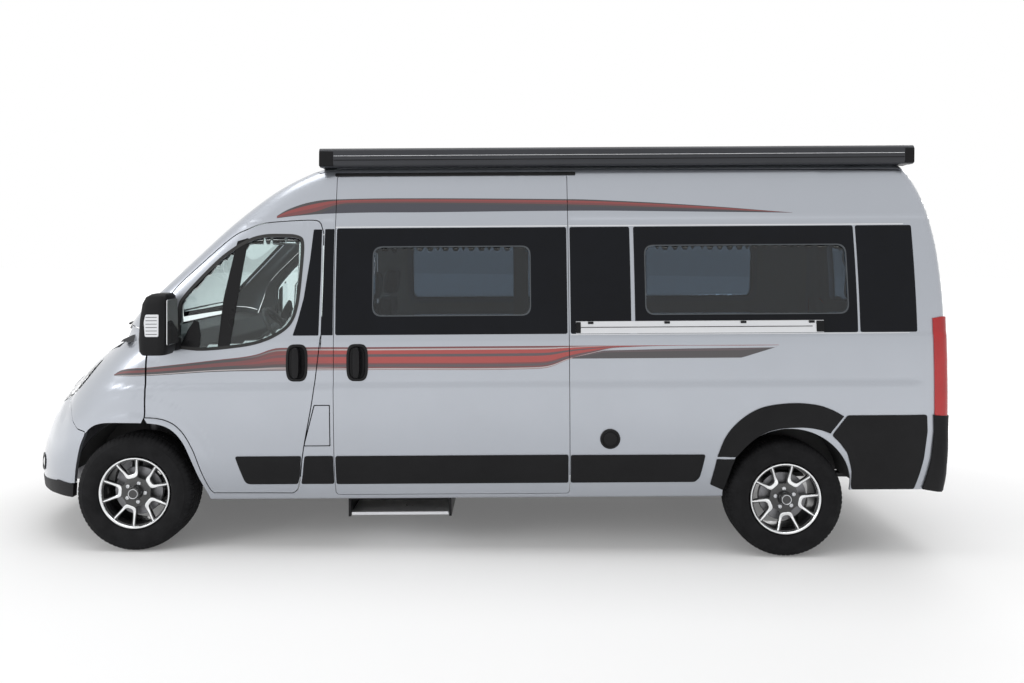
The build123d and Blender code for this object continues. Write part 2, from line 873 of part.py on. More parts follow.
centre_gap = 8.0
tail_hinge_x = tail_x + 20
tail_hinge_y = tail_door_half + shut_gap / 2
TAIL_HINGES = (890.0, 1290.0, 1690.0)
hinge_pin = 5.0
hinge_barrel = 9.0
hinge_length = 90.0
knuckle_length = 44.0
tail_pane_y = (128.0, 690.0)
tail_pane_z = (1420.0, 1930.0)


def tail_leaf_points(side, inner):
    """Corner points of one tail door seen from behind."""
    near, far = on_side(side, inner, tail_door_half)
    return [(near, tail_door_foot), (far, tail_door_foot), (far, tail_door_top), (near, tail_door_top)]


def tail_pane_points(side):
    """Corner points of one tail door's window seen from behind."""
    near, far = on_side(side, *tail_pane_y)
    return [(near, tail_pane_z[0]), (far, tail_pane_z[0]), (far, tail_pane_z[1]), (near, tail_pane_z[1])]


def hinge_bracket(side, outward, z, height):
    """Plate that joins a tail hinge barrel to the skin beside it."""
    sign = side * outward
    y = side * tail_hinge_y
    root = tail_x - 30
    upright = box((root, tail_hinge_x), sorted((y + sign * 3, y + sign * 10)), (z, z + height))
    flat = box((root, tail_x + 5), sorted((y + sign * 3, y + sign * 22)), (z, z + height))
    return upright + flat


def make_tail_door(side):
    """One tail door with its window cut and its hinge knuckles."""
    leaf = tail_prism(outline(tail_leaf_points(side, centre_gap / 2), 20.0)) & outer
    core = tail_prism(outline(tail_leaf_points(side, centre_gap / 2), 20.0, -door_return)) & outer
    door = (leaf - tail_block(skin)) + ((core & tail_block(skin)) - tail_block(rear_wall))
    seat = tail_prism(outline(tail_pane_points(side), 40.0, fit))
    door = door - (seat - tail_block(glass + fit))
    door = door - tail_prism(outline(tail_pane_points(side), 40.0, -glass_lap))
    y = side * tail_hinge_y
    for middle in TAIL_HINGES:
        foot = middle - knuckle_length / 2
        tube = rod((tail_hinge_x, y, foot), (tail_hinge_x, y, foot + knuckle_length), hinge_barrel)
        bore_top = foot + knuckle_length + 1
        bore = rod((tail_hinge_x, y, foot - 1), (tail_hinge_x, y, bore_top), hinge_pin + fit)
        door = door + ((tube + hinge_bracket(side, -1, foot, knuckle_length)) - bore)
    return door


def make_tail_frame():
    """Tail surround: corner pillars, header and sill, with the fixed hinge halves."""
    frame = outer - tail_block(rear_wall)
    gap = box(
        (tail_x - 400, tail_x + 50),
        (-tail_door_half - shut_gap, tail_door_half + shut_gap),
        (tail_door_foot - shut_gap, tail_door_top + shut_gap),
    )
    frame = frame - gap
    frame = frame - box((tail_x - 400, tail_x + 50), (-880, 880), (0, 440))
    lug = (hinge_length - knuckle_length) / 2 - fit
    for _, side in SIDES:
        frame = frame - corner_room(lamp_face_grown, side, lamp_front_y - fit, lamp_depth + fit)
        y = side * tail_hinge_y
        for middle in TAIL_HINGES:
            foot = middle - hinge_length / 2
            pin = rod((tail_hinge_x, y, foot), (tail_hinge_x, y, foot + hinge_length), hinge_pin)
            frame = frame + pin
            for low in (foot, foot + hinge_length - lug):
                barrel = rod((tail_hinge_x, y, low), (tail_hinge_x, y, low + lug), hinge_barrel)
                frame = frame + barrel + hinge_bracket(side, 1, low, lug)
    return frame


bumper_stand = 12.0
bumper_tail_stand = 24.0
bumper_top = 813.0
bumper_front = tail_x - 155


def make_rear_bumper():
    """Rear bumper: wraps both corners and drops below the tail doors in the middle."""
    wrap = straight_shape(-bumper_stand) & tail_block(-bumper_tail_stand)
    wrap = wrap & box((bumper_front, tail_x + 100), (-body_width, body_width), (347, bumper_top))
    wrap = wrap - (straight_shape(-fit) & tail_block(-fit))
    middle = box((0, tail_x + 100), (-815, 815), (tail_door_foot - 12, bumper_top + 10))
    return wrap - middle


save("tail_frame", [make_tail_frame()])
save("tail_lamps", [make_tail_lamp(side) for _, side in SIDES])
save("rear_bumper", [make_rear_bumper()])
for label, side in SIDES:
    save(f"tail_door_{label}", [make_tail_door(side)])
    pane_solid = (tail_prism(outline(tail_pane_points(side), 40.0)) & outer) - tail_block(glass)
    save(f"tail_glass_{label}", [pane_solid])

# ---------------------------------------------------------------- roof and side fittings
awning_start = from_front(awning_front)
awning_foot = 2379.0


def make_awning():
    """Awning case with its three roof brackets."""
    inner = awning_y - awning_width
    profile = [
        (-awning_y, awning_foot),
        (-inner, awning_foot),
        (-inner, awning_foot + awning_depth),
        (-awning_y, awning_foot + awning_depth),
    ]
    case = extrude(Plane.YZ.offset(awning_start) * outline(profile, 24.0), awning_length)
    for share in (0.08, 0.5, 0.92):
        x = awning_start + share * awning_length
        foot = box((x - 40, x + 40), (-inner - 20, -inner + 70), (awning_foot, awning_foot + 70))
        case = case + foot
    return case - straight_shape(-fit)


RAIL_Z = (1334.0, 1408.0)


def make_door_rail():
    """Cover of the sliding door's middle rail."""
    x = (slide_rear + 44, slide_rear + 1568)
    cover = box(x, (-body_width, -790), RAIL_Z) & straight_shape(-14.0)
    return cover - straight_shape(-fit)


# Roof lights: middle along the van from the rear axle, length, width
ROOF_LIGHTS = ((-2150.0, 500.0, 700.0), (120.0, 400.0, 400.0))


def make_roof_lights():
    """Roof lights standing on the roof skin."""
    lights = []
    for middle, length, width in ROOF_LIGHTS:
        x = from_rear(middle)
        lid = box((x - length / 2, x + length / 2), (-width / 2, width / 2), (2400, 2495))
        lid = fillet(lid.edges().filter_by(Axis.Z), 40)
        lights.append(lid - straight_shape(-fit))
    return lights


save("awning", [make_awning()])
save("door_rail", [make_door_rail()])
save("roof_lights", make_roof_lights())

# ---------------------------------------------------------------- cab interior
deck = floor_top_z + fit
driver_y = 430.0
cab_seat_x = from_front(1010.0)  # middle of a cab seat cushion


dash_half = 930.0
DASH = (
    (-198.5, 880.0),
    (150.0, 900.0),
    (260.0, 1010.0),
    (310.0, 1230.0),
    (210.0, 1322.0),
    (-30.0, 1335.0),
    (-198.5, 1262.0),
)


def dash_prism(radius, grow=0.0):
    """Dashboard outline run across the cab."""
    face = outline([(from_front(x), z) for x, z in DASH], radius, grow)
    return extrude(Plane.XZ.offset(-dash_half) * face, 2 * dash_half)


def make_dashboard():
    """Dashboard, trimmed to the wings in front and to the cab frame above."""
    across = (-dash_half, dash_half)
    cab_part = box((from_front(91), from_front(400)), across, (800, 1400))
    high_part = box((nose_x, 0), across, (screen_foot_z, 1400)) & lined
    room = nose_shape(nose_wall + 2) + cab_part + high_part
    return dash_prism(24.0) & room


wheel_centre = (from_front(470), driver_y, 1235.0)
wheel_tilt = 58.0  # degrees between the column and the upright


def make_steering_wheel():
    """Steering wheel with three spokes on its column."""
    lean = math.radians(wheel_tilt)
    axis = (math.sin(lean), 0, math.cos(lean))
    plane = Plane(origin=wheel_centre, x_dir=(0, 1, 0), z_dir=axis)
    ring = plane * Torus(190, 15)
    hub = plane * Pos(0, 0, -14) * Cylinder(58, 36)
    result = ring + hub
    for turn in (0, 180, 270):
        spoke = plane * Rot(0, 0, turn) * Pos(115, 0, -6) * Box(140, 30, 12)
        result = result + spoke
    x, y, z = wheel_centre
    foot = (x - 240 * axis[0], y, z - 240 * axis[2])
    column = rod(foot, wheel_centre, 30)
    return (result + column) - dash_prism(0.0, fit)


seat_width = 500.0
seat_depth = 500.0
seat_height = 400.0  # cushion top above the floor
cushion_thickness = 120.0


def make_cab_seat(side):
    """Cushion, backrest and headrest of one cab seat."""
    y = side * driver_y
    top = deck + seat_height
    half = seat_width / 2
    front = cab_seat_x - seat_depth / 2
    back = cab_seat_x + seat_depth / 2
    cushion = rounded_box((front, back), (y - half, y + half), (top - cushion_thickness, top), 40)
    rest = rounded_box((0, 110), (y - half + 10, y + half - 10), (0, 640), 40)
    rest = Pos(back - 105, 0, top + 4) * Rot(0, 14, 0) * rest
    head = rounded_box((0, 90), (y - 130, y + 130), (668, 850), 36)
    head = Pos(back - 100, 0, top + 4) * Rot(0, 14, 0) * head
    stalks = None
    for shift in (-60, 60):
        bar = rod((45, y + shift, 625), (45, y + shift, 690), 7)
        stalks = bar if stalks is None else stalks + bar
    stalks = Pos(back - 102, 0, top + 4) * Rot(0, 14, 0) * stalks
    return cushion + rest + head + stalks


def make_pedestal(side):
    """Swivel base under a cab seat."""
    y = side * driver_y
    height = seat_height - cushion_thickness
    base = box((cab_seat_x - 190, cab_seat_x + 190), (y - 190, y + 190), (deck, deck + height - 40))
    plate = Pos(cab_seat_x, y, deck + height - 20 - fit) * Cylinder(150, 40)
    return base + plate


save("dashboard", [make_dashboard()])
save("steering_wheel", [make_steering_wheel()])
save("cab_seats", [make_cab_seat(side) for _, side in SIDES])
save("seat_pedestals", [make_pedestal(side) for _, side in SIDES])

# ---------------------------------------------------------------- living-room furniture
worktop_z = 1392.0
lining_y = half_width + 5  # boxes run into the lining and are trimmed to it
bench_top = 860.0
mattress = 120.0
kitchen_x = (slide_rear + 70, slide_rear + 520)
bed_x = (slide_rear + 540, tail_x - rear_wall - 20)
bench_x = (slide_front + 640, slide_front + 1100)  # dining bench seat
washroom_x = (bench_x[1] + 10, bed_x[0] + 50)
LOCKER_Z = (1985.0, 2330.0)


def lined_box(x, y, z):
    """Box trimmed to the inside of the lining."""
    return box(x, y, z) & lined


def make_bed_bases():
    """Long benches over the rear wheels."""
    bases = []
    for _, side in SIDES:
        start = bed_x[0] if side < 0 else bed_x[0] + 60
        base = lined_box((start, bed_x[1]), on_side(side, 330, lining_y), (deck, bench_top))
        bases.append(base - rear_box[side])
    return bases


def make_bed_cushions():
    """Seat and back cushions of the long benches, three lengths to a side."""
    cushions = []
    for _, side in SIDES:
        start = (bed_x[0] if side < 0 else bed_x[0] + 60) + 20
        length = (bed_x[1] - 20 - start) / 3
        for index in range(3):
            x = (start + index * length + 4, start + (index + 1) * length - 4)
            low = bench_top + fit
            seat = rounded_box(x, on_side(side, 345, 800), (low, low + mattress), 35)
            back = rounded_box(x, on_side(side, 805, 915), (low, low + 420), 35)
            cushions.append(seat)
            cushions.append(back)
    return cushions


def make_lockers():
    """Overhead lockers along both sides and above the dining place."""
    left = lined_box((slide_rear + 40, bed_x[1]), on_side(-1, 560, lining_y), LOCKER_Z)
    right = lined_box((washroom_x[1] + fit, bed_x[1]), on_side(1, 560, lining_y), LOCKER_Z)
    dining = lined_box((slide_front - 40, bench_x[1]), on_side(1, 600, lining_y), LOCKER_Z)
    return [left, right, dining]


def make_dining_bench():
    """Dining bench box with its back board."""
    seat = lined_box(bench_x, on_side(1, 300, lining_y), (deck, deck + 330))
    board = lined_box((bench_x[1] - 40, bench_x[1]), on_side(1, 300, lining_y), (deck + 330, 1280))
    return seat + board


def make_dining_cushions():
    """Seat and back cushions of the dining bench."""
    low = deck + 330 + fit
    seat = rounded_box((bench_x[0] + 4, bench_x[1] - 160), (315, 925), (low, low + mattress), 35)
    back = rounded_box((bench_x[1] - 155, bench_x[1] - 40 - fit), (315, 925), (low, 1270), 35)
    return [seat, back]


def make_table():
    """Dining table on its leg."""
    top = box((bench_x[0] - 420, bench_x[0] - 20), (260, 900), (1180, 1208))
    top = fillet(top.edges().filter_by(Axis.Z), 60)
    leg = rod((bench_x[0] - 220, 560, deck), (bench_x[0] - 220, 560, 1190), 35)
    wall_end = lined_box((bench_x[0] - 420, bench_x[0] - 20), (880, lining_y), (1180, 1208))
    return top + leg + wall_end


def make_kitchen():
    """Kitchen cabinet with its worktop."""
    cabinet = lined_box(kitchen_x, on_side(-1, 440, lining_y), (deck, worktop_z - 30))
    overhang = (kitchen_x[0] - 15, kitchen_x[1] + 15)
    worktop = lined_box(overhang, on_side(-1, 425, lining_y), (worktop_z - 30, worktop_z))
    return cabinet + worktop


def make_washroom():
    """Washroom cabin behind the dining bench."""
    cabin = lined_box(washroom_x, on_side(1, 330, lining_y), (deck, 2340))
    front = box((washroom_x[0] + 50, washroom_x[1] - 50), (300, 330), (deck + 40, 2260))
    return cabin + front


save("bench_boxes", make_bed_bases() + [make_dining_bench()])
save("bench_cushions", make_bed_cushions() + make_dining_cushions())
save("overhead_lockers", make_lockers())
save("table", [make_table()])
save("kitchen_unit", [make_kitchen()])
save("washroom", [make_washroom()])

# ---------------------------------------------------------------- under the floor
floor_foot = floor_top_z - floor_thickness - fit
rail_foot = floor_foot + fit - chassis_rail_depth
engine_x = (from_front(-700), from_front(-270))
subframe_z = (238.0, 300.0)


def make_subframe():
    """Front subframe with its lower arms."""
    frame = None
    for _, side in SIDES:
        bar = box((from_front(-640), from_front(300)), on_side(side, 380, 450), subframe_z)
        post = box((from_front(180), from_front(280)), on_side(side, 415, 450), (280, rail_foot - fit))
        arm = box((from_front(-30), from_front(30)), on_side(side, 400, kingpin_y), (200, 225))
        root = box((from_front(-90), from_front(90)), on_side(side, 400, 470), (200, 240))
        piece = bar + post + arm + root
        frame = piece if frame is None else frame + piece
    for x in (from_front(-600), from_front(-90), from_front(200)):
        frame = frame + box((x, x + 90), (-400, 400), subframe_z)
    return frame


def make_waste_tank():
    """Waste-water tank under the floor."""
    tank = box((slide_rear - 300, slide_rear + 500), (-240, 395), (262, floor_foot))
    return fillet(tank.edges().filter_by(Axis.Z), 40)


def make_fuel_tank():
    """Fuel tank under the floor."""
    tank = box((from_front(950), from_front(1750)), (505, 880), (250, floor_foot))
    return fillet(tank.edges().filter_by(Axis.Z), 40)


exhaust_y = -320.0
exhaust_z = 335.0
exhaust_end = from_rear(-230.0)


def make_exhaust():
    """Exhaust pipe with its silencer and hangers."""
    pipe = rod((engine_x[1] + fit, exhaust_y, exhaust_z), (exhaust_end, exhaust_y, exhaust_z), 24)
    silencer = rod((exhaust_end - 620, exhaust_y, exhaust_z), (exhaust_end - 180, exhaust_y, exhaust_z), 78)
    result = pipe + silencer
    for x in (from_front(700), exhaust_end - 560, exhaust_end - 250):
        result = result + box((x, x + 24), (exhaust_y - 12, exhaust_y + 12), (exhaust_z, floor_foot))
    return result


engine = box(engine_x, (-470, 470), (subframe_z[1] + fit, 860))

save("front_subframe", [make_subframe()])
save("engine_block", [engine])
save("tanks", [make_waste_tank(), make_fuel_tank()])
save("exhaust", [make_exhaust()])

# Entrance step: fixed frame with runners, and the tread that slides out
step_x = (slide_front + 63, slide_front + 63 + step_width)
step_y = (560.0, 915.0)
step_top = sill_z - fit
runner = 15.0
tread_z = (188.0, 206.0)


def make_step_frame():
    """Frame of the entrance step, hung under the floor."""
    y = (-step_y[1], -step_y[0])
    frame = box(step_x, y, (step_top - 12, step_top))
    for x in (step_x[0], step_x[1] - runner):
        frame = frame + box((x, x + runner), y, (tread_z[0] - 8, step_top))
        frame = frame + box((x, x + 40), (-700, -640), (step_top - 12, floor_foot))
    return frame


def make_step_tread():
    """Tread of the entrance step with its two runner strips."""
    inside = (step_x[0] + runner, step_x[1] - runner)
    y = (-step_y[1] + 4, -step_y[0] - 30)
    tread = box((inside[0] + step_travel_room, inside[1] - step_travel_room), y, tread_z)
    strip_y = (-step_y[1] + 60, -step_y[0] - 60)
    strip_z = (tread_z[0] + 5, tread_z[1] - 5)
    return tread + box((inside[0] + fit, inside[1] - fit), strip_y, strip_z)


save("step_frame", [make_step_frame()])
save("step_tread", [make_step_tread()])

# ---------------------------------------------------------------- running gear, level
front_hub_y = front_track / 2
rear_hub_y = rear_track / 2
wheel_face = 50.0  # inner face of the wheel's mounting pad, outboard of its centre plane
hub_radius = 55.0


def level_height(x, z):
    """Height above the ground of a body point at station x, once the body is tipped."""
    return tyre_radius + (x - front_axle_x) * math.sin(rake) + (z - tyre_radius) * math.cos(rake)


def make_knuckle(side):
    """Steering knuckle with its hub and strut."""
    x, z = front_axle_x, tyre_radius
    block = box((x - 35, x + 35), on_side(side, kingpin_y - 30, kingpin_y + 24), (226, 540))
    hub_end = front_hub_y + wheel_face - fit
    middle = (kingpin_y + hub_end) / 2
    hub = disc_y(x, side * middle, z, hub_radius, hub_end - kingpin_y)
    bracket = box((x - 30, x + 30), on_side(side, kingpin_y - 90, kingpin_y), (430, 530))
    strut_y = side * (kingpin_y - 65)
    strut = rod((x, strut_y, 440), (x, strut_y, 798), 27)
    return block + hub + bracket + strut


def make_rear_axle():
    """Rear axle beam with its leaf springs and shackles."""
    x, z = rear_axle_x, tyre_radius
    hub_end = rear_hub_y + wheel_face - fit
    stub = 150.0
    axle = disc_y(x, 0, z, 45, 2 * (hub_end - stub + 10))
    for _, side in SIDES:
        axle = axle + disc_y(x, side * (hub_end - stub / 2), z, hub_radius, stub)
        leaf_z = (z + 40, z + 66)
        axle = axle + box((x - 600, x + 600), on_side(side, 560, 630), leaf_z)
        for end in (-600, 550):
            top = level_height(x + end, floor_foot)
            axle = axle + box((x + end, x + end + 50), on_side(side, 575, 615), (z + 45, top))
    return axle


def make_tyre():
    """Tyre about the Y axis, with its centre plane at y = 0."""
    bead = rim_radius + fit
    half = tyre_width / 2
    seat = rim_width / 2 - 1
    right = [
        (bead, seat),
        (rim_flange, seat),
        (rim_flange + 12, half - 11),
        ((rim_flange + tyre_radius) / 2, half),
        (tyre_radius - 27, half - 4),
        (tyre_radius - 9, half - 18),
        (tyre_radius, half - 40),
    ]
    left = [(radius, -y) for radius, y in reversed(right)]
    face = make_face(Polyline(*(right + left), close=True))
    return revolve(face, Axis.Y)


spoke_count = 5
# Openings in the wheel face: middle of the first, inner and outer half angle, inner radius
WINDOWS = ((0.0, 7.0, 13.5, 100.0), (36.0, 17.0, 15.5, 88.0))
window_rim = 187.0
cap_radius = 36.0
cap_end = 112.0


def make_rim():
    """Alloy wheel with twin spokes and its brake disc; outboard is +Y."""
    half = rim_width / 2
    profile = [
        (rim_radius - 12, -half),
        (rim_radius, -half),
        (rim_radius, half - 1 - fit),
        (rim_radius, half - fit),
        (rim_flange, half - fit),
        (rim_flange, half + 11),
        (rim_radius + 4, half + 11),
        (rim_radius - 12, half - 8),
    ]
    barrel = revolve(make_face(Polyline(*profile, close=True)), Axis.Y)
    foot = [(rim_flange, -half + fit), (rim_flange, -half - 11), (rim_radius - 12, -half - 11)]
    foot = foot + [(rim_radius - 12, -half + fit)]
    barrel = barrel + revolve(make_face(Polyline(*foot, close=True)), Axis.Y)
    face_profile = [
        (0.0, wheel_face),
        (75.0, wheel_face),
        (90.0, wheel_face + 4),
        (rim_radius - 6, half - 34),
        (rim_radius - 6, half - 4),
        (80.0, wheel_face + 26),
        (0.0, wheel_face + 26),
    ]
    face = revolve(make_face(Polyline(*face_profile, close=True)), Axis.Y)
    for middle, inner_angle, outer_angle, inner_radius in WINDOWS:
        for index in range(spoke_count):
            turn = middle + index * 360.0 / spoke_count
            corners = []
            for radius, angle in (
                (inner_radius, -inner_angle),
                (window_rim, -outer_angle),
                (window_rim, outer_angle),
                (inner_radius, inner_angle),
            ):
                spot = math.radians(turn + angle)
                corners.append((radius * math.cos(spot), radius * math.sin(spot)))
            hole = extrude(Plane.XZ.offset(-250) * outline(corners, 7.0), 300)
            face = face - hole
    cap = disc_y(0, (wheel_face + cap_end) / 2, 0, cap_radius, cap_end - wheel_face)
    disc = disc_y(0, 17, 0, disc_radius, 26) - disc_y(0, 17, 0, hub_radius + 5, 40)
    bell = disc_y(0, 30, 0, 74, 2 * (wheel_face - 30)) - disc_y(0, 30, 0, hub_radius + 5, 60)
    return barrel + face + cap + disc + bell


def place_wheel(shape, x, y, side):
    """Wheel turned so that its outboard face looks away from the van."""
    turned = shape if side > 0 else shape.rotate(Axis.Z, 180)
    return turned.moved(Location((x, side * y, tyre_radius)))


AXLES = (("front", front_axle_x, front_hub_y), ("rear", rear_axle_x, rear_hub_y))
tyre = make_tyre()
rim = make_rim()
for end, x, hub_y in AXLES:
    for label, side in SIDES:
        save(f"tyre_{end}_{label}", [place_wheel(tyre, x, hub_y, side)], level=True)
        save(f"rim_{end}_{label}", [place_wheel(rim, x, hub_y, side)], level=True)
for label, side in SIDES:
    save(f"knuckle_{label}", [make_knuckle(side)], level=True)
save("rear_axle", [make_rear_axle()], level=True)
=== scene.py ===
"""Camper van: paint, glass, trim, wheels and living room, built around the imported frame.

Lengths in this file are mm in the level body, and place() turns them into metres on the tipped body.
"""

import math

import bpy
import numpy as np
from mathutils import Matrix, Vector
from mathutils.geometry import delaunay_2d_cdt


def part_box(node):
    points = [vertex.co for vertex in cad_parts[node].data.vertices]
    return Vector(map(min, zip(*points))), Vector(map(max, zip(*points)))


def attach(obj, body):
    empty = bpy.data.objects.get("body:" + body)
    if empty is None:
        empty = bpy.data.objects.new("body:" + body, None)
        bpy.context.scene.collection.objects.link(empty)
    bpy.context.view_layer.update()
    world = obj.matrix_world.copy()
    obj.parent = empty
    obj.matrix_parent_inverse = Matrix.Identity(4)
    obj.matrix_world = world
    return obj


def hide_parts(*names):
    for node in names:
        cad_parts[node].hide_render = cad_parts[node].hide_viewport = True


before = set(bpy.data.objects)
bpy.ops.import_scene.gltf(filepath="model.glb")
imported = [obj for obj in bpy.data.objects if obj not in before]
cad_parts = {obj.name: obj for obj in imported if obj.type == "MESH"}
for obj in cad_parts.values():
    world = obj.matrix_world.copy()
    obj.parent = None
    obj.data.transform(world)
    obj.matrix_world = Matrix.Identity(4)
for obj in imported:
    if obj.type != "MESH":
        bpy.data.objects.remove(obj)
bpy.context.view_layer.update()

# ---------------------------------------------------------------- sizes of the body
FRONT = -2051.0  # front axle
REAR = 1984.0  # rear axle
WHEELBASE = REAR - FRONT
NOSE = -2999.0
TAIL = 2979.0
RAKE = math.radians(0.9)
AXLE_Z = 360.0
HALF = 1025.0  # half of the body's width
SIDE_R = 6250.0  # bulge of the sides, widest at WIDEST
WIDEST = 985.0
ROOF_Z = 2450.0
CROWN_R = 8300.0
FOREMOST = -2900.0  # ahead of here the nose is drawn back to end inside the frame's box
DRAWN_BACK = 0.91
OUTLINE_STEP = 30.0  # longest edge of an outline
# Tail: height, distance ahead of the rearmost plane
TAIL_CURVE = ((-200, 5), (985, 0), (1450, 0), (1690, 9), (1925, 31), (2175, 88), (2400, 195), (2700, 330))
# Screen bands: behind the front axle, height, bulge across
SCREEN = ((-279.0, 1360.0, 4100.0), (551.0, 2130.0, 5500.0), (901.0, 2350.0, 7500.0), (1181.0, 2450.0, 0.0))
# Nose: behind the front axle, half width, foot, middle height, fall to the bonnet's edge, rounding
NOSE_ROWS = (
    (-948.0, 90.0, 345.0, 590.0, 6.0, 50.0),
    (-944.0, 200.0, 330.0, 612.0, 8.0, 70.0),
    (-899.0, 400.0, 250.0, 730.0, 26.0, 150.0),
    (-809.0, 590.0, 232.0, 862.0, 50.0, 230.0),
    (-669.0, 770.0, 235.0, 1010.0, 70.0, 300.0),
    (-509.0, 890.0, 240.0, 1150.0, 84.0, 340.0),
    (-349.0, 955.0, 250.0, 1262.0, 82.0, 340.0),
    (-149.0, 1000.0, 275.0, 1370.0, 70.0, 320.0),
    (91.0, 1022.0, 300.0, 1420.0, 60.0, 200.0),
)
# Bonnet's edge: behind the front axle, half width
EDGE_ROWS = ((-948.0, 60.0), (-899.0, 260.0), (-809.0, 380.0), (-669.0, 480.0), (-509.0, 560.0),
             (-349.0, 660.0), (-149.0, 800.0), (91.0, 940.0))
# Wheel arches: middle and radius
FRONT_ARCH = (FRONT + 10.0, 363.0, 440.0)
REAR_ARCH = (FRONT + WHEELBASE * math.cos(RAKE) + 8.0, AXLE_Z - WHEELBASE * math.sin(RAKE) + 53.0, 395.0)


def tipped(v, turn=RAKE):
    """Directions turned about the width axis by the rake."""
    c, s = math.cos(turn), math.sin(turn)
    return np.column_stack([v[:, 0] * c - v[:, 2] * s, v[:, 1], v[:, 0] * s + v[:, 2] * c])


def place(points, level=False):
    """Millimetres in the level body to metres in the row frame: a turn by the rake about the front axle.

    The foremost part is drawn back by a tenth, so that every layer of the nose ends inside the frame's box.
    """
    p = np.array(points, float)
    if not level:
        axle = [FRONT, 0.0, AXLE_Z]
        p = tipped(p - axle) + axle
        p[:, 0] = np.maximum(p[:, 0], FOREMOST + DRAWN_BACK * (p[:, 0] - FOREMOST))
    return p / 1000.0


# ---------------------------------------------------------------- the body as one rounded shape
def hermite(u, a, b, m, n):
    """Cubic from a to b as u goes from 0 to 1, leaving with slope m and arriving with slope n."""
    return (2 * u**3 - 3 * u**2 + 1) * a + (u**3 - 2 * u**2 + u) * m + (3 * u**2 - 2 * u**3) * b + (u**3 - u**2) * n


def smooth_steps(rows):
    """Columns of a table as dense smooth curves: cubic Hermite pieces with limited slopes."""
    rows = np.array(rows, float)
    x = rows[:, 0]
    step = np.diff(x)[:, None]
    rise = np.diff(rows[:, 1:], axis=0) / step
    slope = np.vstack([rise[:1], (rise[1:] + rise[:-1]) / 2, rise[-1:]])
    same = np.vstack([np.ones_like(rise[:1]), (rise[1:] * rise[:-1]) > 0, np.ones_like(rise[:1])])
    limit = 3 * np.minimum(np.abs(np.vstack([rise[:1], rise])), np.abs(np.vstack([rise, rise[-1:]])))
    slope = np.clip(slope, -limit, limit) * same
    fine = np.linspace(x[0], x[-1], 1200)
    at = np.clip(np.searchsorted(x, fine, side="right") - 1, 0, len(x) - 2)
    u = ((fine - x[at]) / step[at, 0])[:, None]
    return fine, hermite(u, rows[at, 1:], rows[at + 1, 1:], step[at] * slope[at], step[at] * slope[at + 1])


NOSE_X, NOSE_VALUES = smooth_steps(NOSE_ROWS)
NOSE_SLOPES = np.gradient(NOSE_VALUES, NOSE_X, axis=0)
EDGE_X, EDGE_VALUES = smooth_steps(EDGE_ROWS)
TAIL_Z, TAIL_BACK = smooth_steps(TAIL_CURVE)
TAIL_SLOPE = np.gradient(TAIL_BACK[:, 0], TAIL_Z)


def ramp(value, low, high):
    """Smooth step from 0 at low to 1 at high."""
    u = np.clip((value - low) / (high - low), 0.0, 1.0)
    return u * u * (3 - 2 * u)


def smax(a, b, k):
    """Greater of two distances, with the edge between them rounded over k."""
    h = np.maximum(k - np.abs(a - b), 0.0) / k
    return np.maximum(a, b) + h * h * k / 4


def smin(a, b, k):
    """Lesser of two distances, with the valley between them filled over k."""
    return -smax(-a, -b, k)


def relief(x, z):
    """Pressed lines of the sides: a crease at the widest height, a soft one above the windows, arch lips."""
    fold = 7.5 * (1 - ramp(z, 1000.0, 1044.0)) * (1 - ramp(x, TAIL - 260.0, TAIL - 120.0))
    belt = 4.0 * (1 - ramp(z, 1304.0, 1329.0))
    high = 3.5 * (1 - ramp(z, 2034.0, 2050.0)) * ramp(z, 1990.0, 2034.0)
    lip = 0.0
    for cx, cz, radius in (FRONT_ARCH, REAR_ARCH):
        lip = lip + 9.0 * (1 - ramp(np.hypot(x - cx, z - cz), radius + 18.0, radius + 78.0))
    flare_x = x - FRONT - 40.0
    ring = np.hypot(flare_x / np.where(flare_x > 0, 530.0, 800.0), (z - 430.0) / 572.0)
    flare = 10.0 * (1 - ramp(ring, 0.90, 1.03)) * (0.5 + 0.5 * ramp(ring, 0.5, 0.9))
    return 1.4 + np.maximum(fold, flare) + belt + high + lip


def flank_gap(y, z):
    """Distance outside the bulging side, before its pressed lines."""
    return np.hypot(np.abs(y) - (HALF - SIDE_R), z - WIDEST) - SIDE_R


def cab_sill(y, z):
    """Distance outside the turned-under sill of the cab and living room."""
    return ((np.abs(y) - 951.0) * 120.0 - (z - 300.0) * 49.0) / 129.6


def cab_gap(x, y, z):
    """Distance outside the cab and living room: sides, sill, crown, three screen bands and tail, rounded."""
    side = smax(flank_gap(y, z) - relief(x, z), cab_sill(y, z), 36.0)
    top = np.hypot(y, z - (ROOF_Z - CROWN_R)) - CROWN_R - 2.0
    for (sx, sz, radius), (ex, ez, _) in zip(SCREEN[:-1], SCREEN[1:]):
        lean = math.atan2(ez - sz, ex - sx)
        across = -(x - FRONT - sx) * math.sin(lean) + (z - sz) * math.cos(lean) + radius
        top = smax(top, np.hypot(y, across) - radius, 60.0)
    back = x - TAIL + np.interp(z, TAIL_Z, TAIL_BACK[:, 0])
    back = back / np.sqrt(1 + np.interp(z, TAIL_Z, TAIL_SLOPE) ** 2)
    body = smax(smax(side, top, 100.0), back, 64.0)
    start = FRONT - 352.0 + 400.0 * (np.abs(y) / 1000.0) ** 3
    return smax(smax(body, start - x, 110.0), 300.0 - z, 12.0)


